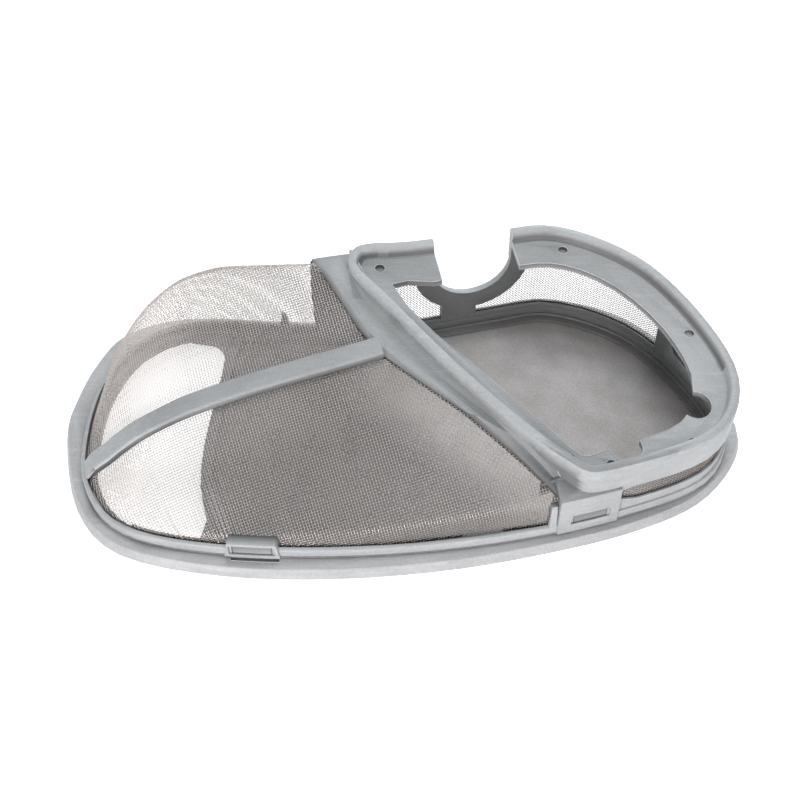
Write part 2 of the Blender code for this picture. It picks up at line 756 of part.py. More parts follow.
def seam():
    """The low web across the cross frame's foot, above the corner block's shelf."""
    rings = []
    for width, rise in ((SEAM_WIDTH, -SEAM_DEPTH), (SEAM_WIDTH, SEAM_TOP / 2),
                        (SEAM_WIDTH / 2, SEAM_TOP)):
        ends = [Vector((*spot(x, y), z + rise)) for x, y, z in SEAM_KNOTS]
        along = (ends[-1] - ends[0]).normalized()
        side = Vector((-along.y, along.x, 0.0)) * width
        rings.append([p + side for p in ends] + [p - side for p in reversed(ends)])
    return loft(rings)


def clip_strip(x, width, outward, inward, bottom, top, taper=0.0, shift=0.35):
    """A short block along the front of the ring, centred on x."""
    middle = along_x(x, -1)
    half = width / 2
    sections = []
    stations = OUTLINE.stations(middle - half, middle + half, shift)
    for number, s in enumerate(stations):
        place, normal = OUTLINE.at(s)
        lean = taper if number == 0 else -taper if number == len(stations) - 1 else 0.0
        above, _normal = OUTLINE.at(s + lean)
        sections.append([(*(place + normal * outward), bottom), (*(above + normal * outward), top),
                         (*(above + normal * inward), top), (*(place + normal * inward), bottom)])
    return loft(sections)


CLIPS = {"tab": (TAB_X, CLIP_RECESS_WIDTH, CLIP_RECESS_BOTTOM),
         "block": (BLOCK_SLOT_X, BLOCK_SLOT_WIDTH, BLOCK_RECESS_BOTTOM)}


def finger():
    """The slim upright on the back of the ring, seen through the dome."""
    place, outward = OUTLINE.at(along_x(FINGER_X, 1))
    along = Vector((outward.y, -outward.x))
    base = place - outward * (RING_THICKNESS - 0.6)
    half = FINGER_WIDTH / 2
    low, high = RING_TOP - 2.0, RING_TOP + FINGER_HEIGHT
    rings = []
    for z, width in ((low, half), (high - 0.6, half * 0.3)):
        rings.append([(*(base + along * a - outward * b), z)
                      for a, b in ((-width, -0.1), (width, -0.1), (width, 1.6), (-width, 1.6))])
    return loft(rings)


def build_upper_frame(home, tools, paint, points, envelopes):
    ring_stations = OUTLINE.reach[:-1]
    sections = []
    for s in ring_stations:
        place, outward = OUTLINE.at(s)
        sections.append([(*(place + outward * n), z) for n, z in ring_profile(place)])
    frame = put("upper_frame", loft(sections, ring=True), home, paint)

    wall_start, wall_end = along_x(WALL_BACK_X, 1), along_x(BLOCK_FRONT_X[1] - 3, -1)
    tab = clip_strip(TAB_X, CLIP_TAB_WIDTH, CLIP_PAD, -RING_THICKNESS + 0.4, SEAT + 0.4,
                     CLIP_RECESS_BOTTOM + CLIP_RECESS_HEIGHT + CLIP_TAB_RISE, CLIP_TAB_LEAN)
    adds = [put("wall", strip(wall_start, wall_end, wall_profile, WALL_SHIFT), tools),
            put("rim", rim_dish(), tools),
            put("corner_wall", corner_wall(), tools),
            put("corner_block", corner_block(), tools),
            put("cross_frame", loft(cross_sections(points)), tools),
            put("rib", loft(rib_sections(points)), tools),
            put("seam", seam(), tools),
            put("back_leg", back_leg(), tools),
            put("clip_tab", tab, tools),
            put("ear", clip_strip(EAR_X, EAR_WIDTH, -0.5, -RING_THICKNESS + 0.5, RING_TOP - 1.4,
                                  RING_TOP + EAR_HEIGHT, 0.5), tools),
            put("finger", finger(), tools)]
    combine(frame, adds, "UNION")

    mouth = prism(smooth_closed([spot(*k) for k in MOUTH_KNOTS], 2), BLOCK_SHELF, CUT_TOP)
    cuts = [put("mouth", mouth, tools), saddle_shape("saddle", SADDLE_RADIUS, tools)]
    for number, knot in enumerate(LEDGE_NOTCHES):
        bm = round_prism(spot(*knot), LEDGE_NOTCH_RADIUS, SILL, CUT_TOP)
        cuts.append(put("ledge_notch_%d" % number, bm, tools))
    for number, knot in enumerate(LEDGE_DIMPLES):
        place = spot(*knot)
        floor = rim_z(place, LEDGE_DROP + DIMPLE_DEPTH)
        bm = round_prism(place, DIMPLE_RADIUS, floor, floor + LEDGE_DROP, 12)
        cuts.append(put("dimple_%d" % number, bm, tools))
    keep = saddle_shape("saddle_band", SADDLE_RADIUS + SADDLE_BAND, tools)
    for name in WINDOWS:
        hole = window_cutter(name, tools)
        if name.startswith("back"):
            combine(hole, [keep], "DIFFERENCE")
        cuts.append(hole)
    for key, (x, width, bottom) in CLIPS.items():
        top = bottom + CLIP_RECESS_HEIGHT
        recess = clip_strip(x, width, CLIP_PAD + 1.0, 0.0, bottom, top)
        pocket = clip_strip(x, width - 2.0, 0.2, -CLIP_TONGUE_THICKNESS - 0.4, SEAT - 1.0, top)
        cuts += [put(key + "_recess", recess, tools), put(key + "_pocket", pocket, tools)]
    combine(frame, cuts + envelopes, "DIFFERENCE")
    return frame


def opening_outlines():
    """The two holes in the base: the bare outlet on the left and the floor on the right."""
    back, front = along_x(OUTLET_X[0], 1), along_x(OUTLET_X[1], -1)
    left = [OUTLINE.at(s) for s in OUTLINE.stations(front, back)]
    outlet = [p - n * OUTLET_BORDER for p, n in left[1:-1]]
    bar = [spot(*k) for k in FLOOR_BAR_KNOTS]
    outlet += smooth_open(bar, 2)
    back, front = along_x(FLOOR_X[0], 1), along_x(FLOOR_X[1], -1)
    right = [OUTLINE.at(s) for s in OUTLINE.stations(back, front)]
    floor = [p - n * FLOOR_BORDER for p, n in right]
    shift = Vector((FLOOR_BAR_WIDTH, 0))
    floor += [p + shift for p in reversed(smooth_open(bar[1:-1], 2))]
    return outlet, floor


def grown(points, distance):
    return Outline(points).offset(distance)


def build_lower_frame(home, tools, paint):
    def ring(inward, z):
        return [(p.x, p.y, z) for p in FLANGE.offset(-inward)]

    foot = [ring(0.4, 0.0), ring(0.0, 0.5), ring(FLANGE_DRAFT, FLANGE_HEIGHT - FLANGE_EDGE),
            ring(FLANGE_DRAFT + FLANGE_EDGE, FLANGE_HEIGHT)]
    frame = put("lower_frame", stack(foot), home, paint)
    well = prism(OUTLINE.offset(-BASE_STEP_INSET), BASE_WEB_TOP, CUT_TOP)
    under = prism(OUTLINE.offset(-BASE_STEP_INSET), CUT_FLOOR, BASE_WEB_BOTTOM)
    tongues = []
    for key, (x, width, bottom) in CLIPS.items():
        bm = clip_strip(x, width - 2.6, -0.1, -0.1 - CLIP_TONGUE_THICKNESS, FLANGE_HEIGHT - 1.0,
                        bottom + CLIP_RECESS_HEIGHT - 0.3)
        tongues.append(put(key + "_tongue", bm, tools))
    outlet, floor = opening_outlines()
    slot = clip_strip(TAB_X + 1.0, CLIP_RECESS_WIDTH + 1.0, 1.9, 0.3,
                      FLANGE_HEIGHT - CLIP_SLOT_DEPTH, FLANGE_HEIGHT + 2.0)
    bite = prism(grown(floor, MESH_BITE + MESH_CLEARANCE), FLOOR_MESH_Z - GROOVE / 2,
                 FLOOR_MESH_Z + GROOVE / 2)
    cuts = [put("well", well, tools), put("underside", under, tools),
            put("outlet_hole", prism(outlet, CUT_FLOOR, RING_TOP), tools),
            put("floor_hole", prism(floor, CUT_FLOOR, RING_TOP), tools),
            put("clip_slot", slot, tools), put("floor_groove", bite, tools)]
    combine(frame, cuts, "DIFFERENCE")
    combine(frame, tongues, "UNION")
    return floor


def inside(point, outline):
    hit = False
    for a, b in zip(outline, outline[1:] + outline[:1]):
        if (a.y > point.y) != (b.y > point.y):
            if point.x < a.x + (point.y - a.y) * (b.x - a.x) / (b.y - a.y):
                hit = not hit
    return hit


def build_floor_mesh(home, tools, paint, floor):
    edge = grown(floor, MESH_BITE)
    half = MESH_THICKNESS / 2
    sheet = put("floor_mesh", prism(edge, FLOOR_MESH_Z - half, FLOOR_MESH_Z + half), home, paint)
    bm = bmesh.new()
    margin = grown(floor, -1.5)
    reach = FLOOR_HOLE / 2
    columns = int(FRAME_LENGTH / FLOOR_PITCH)
    rows = int(FRAME_WIDTH / FLOOR_PITCH)
    for i in range(-columns, columns + 1):
        for j in range(-rows, rows + 1):
            centre = Vector((i * FLOOR_PITCH, j * FLOOR_PITCH))
            corners = [centre + Vector((a * reach, b * reach)) for a in (-1, 1) for b in (-1, 1)]
            if all(inside(corner, margin) for corner in corners):
                cube = bmesh.ops.create_cube(bm, size=1.0)["verts"]
                bmesh.ops.scale(bm, vec=(FLOOR_HOLE, FLOOR_HOLE, 6.0), verts=cube)
                bmesh.ops.translate(bm, vec=(centre.x, centre.y, FLOOR_MESH_Z), verts=cube)
    combine(sheet, [put("floor_gaps", bm, tools)], "DIFFERENCE")


def build_dome_mesh(home, paint, points):
    bm, cells = sheet_mesh(dome_sheet(points, 0.0))
    rows = len(points[0]) - 1
    gaps = [face for i, j, face in cells if 1 < i <= DOME_COLUMNS and 1 <= j <= rows]
    open_cells(bm, gaps, MESH_BAR)
    dome = put("dome_mesh", bm, home, paint)
    thicken(dome, MESH_THICKNESS)


def build_window_mesh(name, home, tools, paint, keep):
    _range, columns, rows = WINDOWS[name]
    bm, cells = sheet_mesh(window_sheet(name, columns, rows, 0.0))
    open_cells(bm, [face for _i, _j, face in cells], MESH_BAR + 0.8)
    sheet = put(name, bm, home, paint)
    thicken(sheet, MESH_THICKNESS)
    if name.startswith("back"):
        combine(sheet, [keep], "DIFFERENCE")


def window_envelope(name, tools, keep):
    _range, columns, rows = WINDOWS[name]
    bm, _cells = sheet_mesh(window_sheet(name, columns, rows, MESH_CLEARANCE))
    made = put(name + "_groove", bm, tools)
    thicken(made, GROOVE)
    if name.startswith("back"):
        combine(made, [keep], "DIFFERENCE")
    return made


def build():
    clear_scene()
    home = collection("dishwasher_filter")
    tools = collection("cutters", hidden=True)
    plastic = material("grey_plastic", (0.42, 0.44, 0.46), 0.5)
    base_plastic = material("base_grey_plastic", (0.46, 0.47, 0.49), 0.5)
    wire = material("woven_steel_wire", (0.45, 0.42, 0.39), 0.35, 1.0)
    fine = material("fine_steel_mesh", (0.34, 0.32, 0.30), 0.5, 0.8)

    points = dome_points()
    bm, _cells = sheet_mesh(dome_sheet(points, MESH_CLEARANCE))
    dome_groove = put("dome_groove", bm, tools)
    thicken(dome_groove, GROOVE)
    keep_sheet = saddle_shape("saddle_keep_sheet", SADDLE_RADIUS + SADDLE_BAND - MESH_BITE, tools)
    keep_groove = saddle_shape("saddle_keep_groove",
                               SADDLE_RADIUS + SADDLE_BAND - MESH_BITE - MESH_CLEARANCE, tools)
    grooves = [dome_groove] + [window_envelope(name, tools, keep_groove) for name in WINDOWS]

    build_upper_frame(home, tools, plastic, points, grooves)
    floor = build_lower_frame(home, tools, base_plastic)
    build_floor_mesh(home, tools, fine, floor)
    build_dome_mesh(home, wire, points)
    for name in WINDOWS:
        build_window_mesh(name, home, tools, wire, keep_sheet)


build()
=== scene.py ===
# Dishwasher sump filter: looks of the two grey mouldings and the woven steel cloths.
import bpy
import bmesh
from math import radians
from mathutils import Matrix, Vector
from mathutils.kdtree import KDTree


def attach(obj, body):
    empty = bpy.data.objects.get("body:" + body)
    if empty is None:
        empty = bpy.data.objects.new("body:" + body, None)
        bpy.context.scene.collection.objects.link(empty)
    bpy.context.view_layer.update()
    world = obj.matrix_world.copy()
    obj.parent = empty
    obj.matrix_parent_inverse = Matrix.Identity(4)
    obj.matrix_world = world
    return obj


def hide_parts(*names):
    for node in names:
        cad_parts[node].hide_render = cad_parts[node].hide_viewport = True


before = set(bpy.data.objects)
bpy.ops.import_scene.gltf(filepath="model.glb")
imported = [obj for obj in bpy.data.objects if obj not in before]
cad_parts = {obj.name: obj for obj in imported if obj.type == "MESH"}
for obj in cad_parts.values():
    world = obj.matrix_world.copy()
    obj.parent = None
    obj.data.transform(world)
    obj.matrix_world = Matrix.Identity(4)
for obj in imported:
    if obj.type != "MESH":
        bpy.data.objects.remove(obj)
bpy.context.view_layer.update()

# Sizes are in millimetres, as in the part's source, and become metres in each mesh.
MM = 0.001

# Camera: square to the filter's length and 49 degrees down
CAMERA_PLACE = (-0.00078, -0.34088, 0.41045)
CAMERA_TILT = radians(41)
CAMERA_LENS = 61.776
SENSOR_WIDTH = 36.0
NEAREST_SEEN = 0.01

# The upper frame's outline and the sizes that place the cloths in it
OUTLINE_KNOTS = [(-120, -10), (-117, 18), (-105, 41), (-82, 52), (-45, 50.5), (-5, 50),
                 (35, 59), (62, 63.5), (92, 50.4), (112.8, 25), (124, -5), (113.5, -30),
                 (80, -45.5), (35, -57), (-15, -62.5), (-65, -61.5), (-100, -53), (-116, -34)]
FLANGE_MIDDLE = Vector((0.7766, -0.2746))
OUTLINE_STEPS = 8
CLOTH_INSET = 2.3
RING_GROOVE_Z = 8.1
RIM_HEIGHT = 46.9
RIM_SLOPE = (-0.075, 0.108)

# How far the cloths reach into the plastic, the share of that where a wire passes under the
# cross frame, and how far the dome cloth goes down into the ring
CLOTH_BITE = 1.5
CROSS_BITE_SHARE = 0.6
FOOT_DEPTH = 4 * CLOTH_BITE

# Control places of the dome cloth, from the tip to the cross frame: back x, inset, shoulder
# height, share of the rib, height there, front x, inset and height of the fold
TIP = Vector((-117.0, -25.0))
RIB_END = Vector((-9.0, 1.2))
CROSS_BACK_X = -34.0
DOME_STATIONS = [
    (-119.7, 2.3, 8.0, 0.00, 8.0, -115.6, 2.3, 8.0),
    (-114.8, 4.4, 18.5, 0.09, 13.2, -107.5, 3.2, 10.2),
    (-104.0, 5.0, 27.5, 0.21, 22.8, -94.0, 3.8, 11.8),
    (-88.5, 5.4, 36.5, 0.36, 30.2, -74.0, 4.6, 13.0),
    (-70.0, 6.0, 43.0, 0.56, 35.6, -46.0, 5.4, 14.4),
    (-51.0, 6.2, 45.8, 0.78, 39.8, -4.0, 6.0, 16.8),
    (CROSS_BACK_X, 7.2, 48.2, 1.00, 43.6, 56.5, 3.6, 21.8),
]
DOME_CROWN_BACK = 1.2
DOME_CROWN_FRONT = [0.3, 0.8, 1.4, 1.8, 2.2, 3.2, 5.0]
SPLINE_PULL = 0.8
DOME_ROW_STEPS = 6
DOME_COLUMN_STEPS = 8
RIB_ROW = 3 * DOME_ROW_STEPS

# The cloths' wires. The windows' cloth is finer and lies with its wires on the slant. A wire's
# painted shade goes from 0 on top to 1 under another, and is darkest from SUNK_SPAN on. The margins
# are how far the lines run on past the dome's edges.
WIRE_SIDES = 4
DOME_PITCH = 1.05
DOME_WIRE = 0.128
WINDOW_PITCH = 0.92
WINDOW_WIRE = 0.125
LONG_WIRE_SHADE = 0.4
DOME_SUNK_SHADE = (0.5, 0.455, 0.43)
WINDOW_SUNK_SHADE = (0.15, 0.12, 0.11)
SUNK_SPAN = 0.65
CRIMP = 0.035
TIP_MARGIN = 12
CROSS_MARGIN = 62.0
MARGIN_WIRES = 4

# Windows: places along the outline by x and side, back (1) or front (-1), the sill's height
# and how far the top is below the rim
WINDOWS = {"back_left_window": ((-12.0, 1), (16.0, 1), 9.8, 12.0),
           "back_right_window": ((30.0, 1), (104.5, 1), 9.8, 12.0),
           "front_right_window": ((109.5, 1), (78.5, -1), 13.0, 14.0)}
SADDLE_X = 27.75
SADDLE_RADIUS = 15.75
SADDLE_WALL = 8.0
SADDLE_BOTTOM_Z = 22.0
SADDLE_KEEP_RADIUS = SADDLE_RADIUS + SADDLE_WALL - CLOTH_BITE
SADDLE_CENTRE_Z = SADDLE_BOTTOM_Z + SADDLE_RADIUS

# Floor cloth. Its painted shade under the dome grows towards DOME_SIDE over DOME_EDGE, a span in
# metres.
FLOOR_Z = 2.15
FLOOR_THICKNESS = 0.5
FLOOR_BORDER = 7.2
FLOOR_BAR_WIDTH = 4.0
FLOOR_BAR_KNOTS = [(-70.6, 36), (-72.5, 14), (-74.8, -10), (-74.3, -30)]
FLOOR_BAR_STEPS = 4
FLOOR_EDGE_STEPS = 90
FLOOR_BACK_X = -64
FLOOR_FRONT_X = -58
DOME_SIDE = (-0.715, -0.699, 0.0)
DOME_EDGE = (-0.009, 0.009)
FLOOR_PAINTED_SHADE = 0.72

# Plastic edges: the CAD's facets are merged, edges rounded, and the sharp outer ones lined with
# pale tubes of painted highlight
MERGE_DISTANCE = 0.000001
FLAT_ANGLE = radians(0.5)
SMOOTH_ANGLE = radians(34)
EDGE_ROUNDING = 0.3
EDGE_SEGMENTS = 2
HIGHLIGHT_WIDTH = 0.34
HIGHLIGHT_DEPTH = 0.06
HIGHLIGHT_SIDES = 5
HIGHLIGHT_ANGLE = radians(48)
HIGHLIGHT_SHORTEST = 0.4
HIGHLIGHT_UPWARD = 0.2

# The dark ribbon of painted shadow in the gap between the two frames: how far it stands out, from
# the base's top to above the joint
BASE_TOP = 4.9
JOINT_HEIGHT = 0.7
JOINT_SUNK = 0.1
JOINT_LINE = [(0.1, -JOINT_SUNK), (0.12, JOINT_HEIGHT), (-0.4, JOINT_HEIGHT), (-0.4, -JOINT_SUNK)]

# Painted shade where shade falls on the plastic: its strength at each place, and the spans over
# which it grows with the way that the surface faces, the depth below the rim, the height or the
# distance
LEDGE_DEPTH = 5.5
BOX_MIDDLE = Vector((72.0, 5.0))
WALL_PAINTED_SHADE = 0.68
WALL_INSET = (0.5, 12.0)
WALL_FACING = (0.35, 0.7)
WALL_DEPTH = (1.0, 4.0)
RIGHT_END_LESS = 0.9
RIGHT_END_FACING = (0.5, 0.9)
RIM_SIDE_PAINTED_SHADE = 0.75
RIM_SIDE_TURN = 0.2
RIM_SIDE_FACING = (0.25, 0.6)
RIM_SIDE_DEPTH = (0.3, 1.6)
LOW_PAINTED_SHADE = 0.66
LOW_HEIGHT = 2 * BASE_TOP
LOW_INSET = 2.6
SHELF_PAINTED_SHADE = 0.38
SHELF_START = Vector((46.0, -38.0, 15.0))
SHELF_RISE = 2.0
SHELF_LEVEL = 0.6
LEDGE_PAINTED_SHADE = 0.33
LEDGE_START = 1.5
LEDGE_LEVEL = 0.8
LEDGE_FACING = (0.3, 0.8)
RING_INSET = 2.4
CROSS_PAINTED_SHADE = 0.34
CROSS_LOWER_PAINTED_SHADE = 0.34
CROSS_START_X = CROSS_BACK_X - 4
CROSS_FADE = (20.0, 34.0)
CROSS_LOWER_FADE = (30.0, 42.0)
CROSS_HEIGHT = (14.0, 18.0)
CROSS_DEPTH = (2.0, 5.0)
RIB_PAINTED_SHADE = 0.2
RIB_FADE = (6.0, 8.0)
RIB_HEIGHT = (22.0, 32.0)
TONGUE_PAINTED_SHADE = 0.8
TONGUE_RISE = (BASE_TOP + 0.5, BASE_TOP + 2)
SHADE_TOUCH = 0.7
SHADE_REACH = 2.4
SHADE_SIDE_REACH = 5.0
SHADE_SIDE_LEVEL = 0.5
SHADE_FADE_POWER = 0.6

# Studio
FLOOR_HALF = 3.0
FLOOR_GLOW = 0.7
SKY_LIGHT = 0.38
COOL_WHITE = (0.97, 0.99, 1.0)
COOL_BLUE = (0.9, 0.95, 1.0)
WARM_WHITE = (1.0, 0.97, 0.985)


def cardinal(before, start, end, after, t, pull=1.0):
    """A point between start and end on a smooth curve through all four."""
    leave = (end - before) * 0.5 * pull
    reach = (after - start) * 0.5 * pull
    return (start * (2 * t**3 - 3 * t**2 + 1) + leave * (t**3 - 2 * t**2 + t)
            + end * (3 * t**2 - 2 * t**3) + reach * (t**3 - t**2))


def smooth_closed(knots, steps):
    """A closed smooth line through all knots."""
    count = len(knots)
    return [cardinal(knots[i - 1], knots[i], knots[(i + 1) % count], knots[(i + 2) % count],
                     k / steps) for i in range(count) for k in range(steps)]


def smooth_open(knots, steps, pull=1.0):
    """A smooth line from the first knot to the last."""
    ends = [knots[0] * 2 - knots[1]] + list(knots) + [knots[-1] * 2 - knots[-2]]
    made = [cardinal(*ends[i:i + 4], k / steps, pull)
            for i in range(len(knots) - 1) for k in range(steps)]
    return made + [knots[-1].copy()]


class Outline:
    """A closed clockwise line that gives places and outward normals along its length."""

    def __init__(self, points):
        self.points = points
        self.reach = [0.0]
        for a, b in zip(points, points[1:] + points[:1]):
            self.reach.append(self.reach[-1] + (b - a).length)
        self.length = self.reach[-1]

    def normal(self, index):
        along = self.points[(index + 1) % len(self.points)] - self.points[index - 1]
        return Vector((-along.y, along.x)).normalized()

    def at(self, s):
        s = s % self.length
        index = 0
        while self.reach[index + 1] < s:
            index += 1
        count = len(self.points)
        share = (s - self.reach[index]) / (self.reach[index + 1] - self.reach[index])
        place = self.points[index].lerp(self.points[(index + 1) % count], share)
        outward = self.normal(index).lerp(self.normal((index + 1) % count), share)
        return place, outward.normalized()

    def find(self, value, side, axis=0):
        """How far along the outline it crosses an x on the back (1) or the front (-1), or,
        with axis 1, a y on the left (1) or the right (-1)."""
        count = len(self.points)
        for index in range(count):
            a, b = self.points[index], self.points[(index + 1) % count]
            low, high = sorted((a[axis], b[axis]))
            if (b[axis] - a[axis]) * side > 0 and low <= value <= high:
                share = (value - a[axis]) / (b[axis] - a[axis])
                return self.reach[index] + share * (b - a).length
        raise ValueError("the outline does not reach %.1f" % value)

    def offset(self, distance):
        return [p + self.normal(i) * distance for i, p in enumerate(self.points)]


OUTLINE = Outline(smooth_closed([Vector(k) for k in OUTLINE_KNOTS], OUTLINE_STEPS))


def rim_z(place):
    """The height of the slanting rim above a place."""
    return RIM_HEIGHT + RIM_SLOPE[0] * place.x + RIM_SLOPE[1] * place.y


def to_frame(place):
    """A place in millimetres becomes one in the CAD's frame, in metres."""
    return Vector(((place.x - FLANGE_MIDDLE.x) * MM, (place.y - FLANGE_MIDDLE.y) * MM,
                   place.z * MM))


def between(value, low, high):
    """0 up to low, 1 from high on, and in step between."""
    return min(max((value - low) / (high - low), 0.0), 1.0)


def new_object(name, data):
    made = bpy.data.objects.new(name, data)
    bpy.context.scene.collection.objects.link(made)
    return made


# Shader node groups


def join(tree, value, socket):
    """Feed a socket with another node's output, or set it to a plain value."""
    if isinstance(value, bpy.types.NodeSocket):
        tree.links.new(value, socket)
    else:
        socket.default_value = value


def add_math(tree, operation, *terms, kind="ShaderNodeMath"):
    node = tree.nodes.new(kind)
    node.operation = operation
    for term, socket in zip(terms, node.inputs):
        join(tree, term, socket)
    return node


def object_place(tree):
    return tree.nodes.new("ShaderNodeTexCoord").outputs["Object"]


def new_group(name, inputs, outputs):
    group = bpy.data.node_groups.new(name, "ShaderNodeTree")
    for label, kind, value in inputs:
        socket = group.interface.new_socket(label, in_out="INPUT", socket_type=kind)
        socket.default_value = value
    for label, kind in outputs:
        group.interface.new_socket(label, in_out="OUTPUT", socket_type=kind)
    return group, group.nodes.new("NodeGroupInput"), group.nodes.new("NodeGroupOutput")


def add_noise(group, entry, vector, scale_label, detail, roughness):
    noise = group.nodes.new("ShaderNodeTexNoise")
    noise.inputs["Detail"].default_value = detail
    noise.inputs["Roughness"].default_value = roughness
    group.links.new(vector, noise.inputs["Vector"])
    group.links.new(entry.outputs[scale_label], noise.inputs["Scale"])
    return noise.outputs["Fac"]


def add_range(tree, value, low, high, to_low=0.0, to_high=1.0):
    ranged = tree.nodes.new("ShaderNodeMapRange")
    ranged.inputs["From Min"].default_value = low
    ranged.inputs["From Max"].default_value = high
    ranged.inputs["To Min"].default_value = to_low
    ranged.inputs["To Max"].default_value = to_high
    tree.links.new(value, ranged.inputs["Value"])
    return ranged.outputs["Result"]


def blend_colours(tree, factor, under, over):
    """Mix two colours, each another node's output or four plain numbers."""
    blend = tree.nodes.new("ShaderNodeMix")
    blend.data_type = "RGBA"
    tree.links.new(factor, blend.inputs["Factor"])
    for colour, socket in zip((under, over), [s for s in blend.inputs if s.type == "RGBA"]):
        join(tree, colour, socket)
    return [s for s in blend.outputs if s.type == "RGBA"][0]


def streak_group():
    """Thin pale rubs that run along the part, as handling leaves on soft plastic."""
    group, entry, leave = new_group(
        "rubs", [("Rub scale", "NodeSocketFloat", 700.0), ("Stretch", "NodeSocketFloat", 0.06)],
        [("Mask", "NodeSocketFloat")])
    squeeze = group.nodes.new("ShaderNodeCombineXYZ")
    group.links.new(entry.outputs["Stretch"], squeeze.inputs["X"])
    squeeze.inputs["Y"].default_value = 0.8
    squeeze.inputs["Z"].default_value = 1.0
    drawn = add_math(group, "MULTIPLY", object_place(group), squeeze.outputs["Vector"],
                     kind="ShaderNodeVectorMath")
    rubs = add_noise(group, entry, drawn.outputs["Vector"], "Rub scale", detail=3.0, roughness=0.6)
    group.links.new(add_range(group, rubs, 0.5, 0.72), leave.inputs["Mask"])
    return group


def clouding_group():
    """Slow cloudy changes between two colours, with a second, finer layer."""
    group, entry, leave = new_group(
        "clouding",
        [("Deep colour", "NodeSocketColor", (0.4, 0.4, 0.4, 1)),
         ("Pale colour", "NodeSocketColor", (0.5, 0.5, 0.5, 1)),
         ("Cloud scale", "NodeSocketFloat", 40.0), ("Fleck scale", "NodeSocketFloat", 900.0)],
        [("Colour", "NodeSocketColor"), ("Mask", "NodeSocketFloat")])
    place = object_place(group)
    clouds = add_noise(group, entry, place, "Cloud scale", detail=3.0, roughness=0.55)
    flecks = add_noise(group, entry, place, "Fleck scale", detail=2.0, roughness=0.6)
    both = group.nodes.new("ShaderNodeMix")
    both.inputs["Factor"].default_value = 0.55
    group.links.new(clouds, both.inputs["A"])
    group.links.new(flecks, both.inputs["B"])
    mask = add_range(group, both.outputs["Result"], 0.36, 0.64)
    colour = blend_colours(group, mask, entry.outputs["Deep colour"], entry.outputs["Pale colour"])
    group.links.new(colour, leave.inputs["Colour"])
    group.links.new(mask, leave.inputs["Mask"])
    return group


def grain_group():
    """The height of a moulded surface: fine pits over slow ripples."""
    group, entry, leave = new_group(
        "grain",
        [("Pit scale", "NodeSocketFloat", 2500.0), ("Ripple scale", "NodeSocketFloat", 150.0)],
        [("Height", "NodeSocketFloat")])
    place = object_place(group)
    pits = add_noise(group, entry, place, "Pit scale", detail=2.0, roughness=0.5)
    ripples = add_noise(group, entry, place, "Ripple scale", detail=2.0, roughness=0.5)
    total = add_math(group, "MULTIPLY_ADD", ripples, 2.0, pits)
    group.links.new(total.outputs["Value"], leave.inputs["Height"])
    return group


def weave_group():
    """A fine square weave in plan: height and a mask of its gaps."""
    group, entry, leave = new_group(
        "fine weave", [("Thread scale", "NodeSocketFloat", 6000.0)],
        [("Height", "NodeSocketFloat"), ("Gap", "NodeSocketFloat")])
    waves = []
    for direction in ("X", "Y"):
        wave = group.nodes.new("ShaderNodeTexWave")
        wave.bands_direction = direction
        group.links.new(object_place(group), wave.inputs["Vector"])
        group.links.new(entry.outputs["Thread scale"], wave.inputs["Scale"])
        waves.append(wave.outputs["Fac"])
    height = add_math(group, "MULTIPLY", *waves).outputs["Value"]
    group.links.new(height, leave.inputs["Height"])
    group.links.new(add_range(group, height, 0.3, 0.7, 1.0, 0.0), leave.inputs["Gap"])
    return group


STREAKS = streak_group()
CLOUDING = clouding_group()
GRAIN = grain_group()
WEAVE = weave_group()


def new_material(name, rough, metal=0.0):
    made = bpy.data.materials.new(name)
    made.use_nodes = True
    shader = made.node_tree.nodes["Principled BSDF"]
    shader.inputs["Roughness"].default_value = rough
    shader.inputs["Metallic"].default_value = metal
    return made, made.node_tree, shader


def place_group(tree, group, **values):
    """A group node in a material, with its own values by the inputs' names."""
    node = tree.nodes.new("ShaderNodeGroup")
    node.node_tree = group
    for label, value in values.items():
        node.inputs[label.replace("_", " ")].default_value = value
    return node


def place_clouding(tree, deep, pale, cloud_scale, fleck_scale):
    return place_group(tree, CLOUDING, Deep_colour=(*deep, 1), Pale_colour=(*pale, 1),
                       Cloud_scale=cloud_scale, Fleck_scale=fleck_scale)


def add_bump(tree, shader, height, strength, distance):
    bump = tree.nodes.new("ShaderNodeBump")
    bump.inputs["Strength"].default_value = strength
    bump.inputs["Distance"].default_value = distance
    tree.links.new(height, bump.inputs["Height"])
    tree.links.new(bump.outputs["Normal"], shader.inputs["Normal"])


def roughness_from(tree, shader, mask, low, high):
    tree.links.new(add_range(tree, mask, 0.0, 1.0, low, high), shader.inputs["Roughness"])


def scaled(tree, value, factor):
    return add_math(tree, "MULTIPLY", value, factor).outputs["Value"]


def marked(tree, name):
    """A value that the mesh carries."""
    node = tree.nodes.new("ShaderNodeAttribute")
    node.attribute_name = name
    return node.outputs["Fac"]


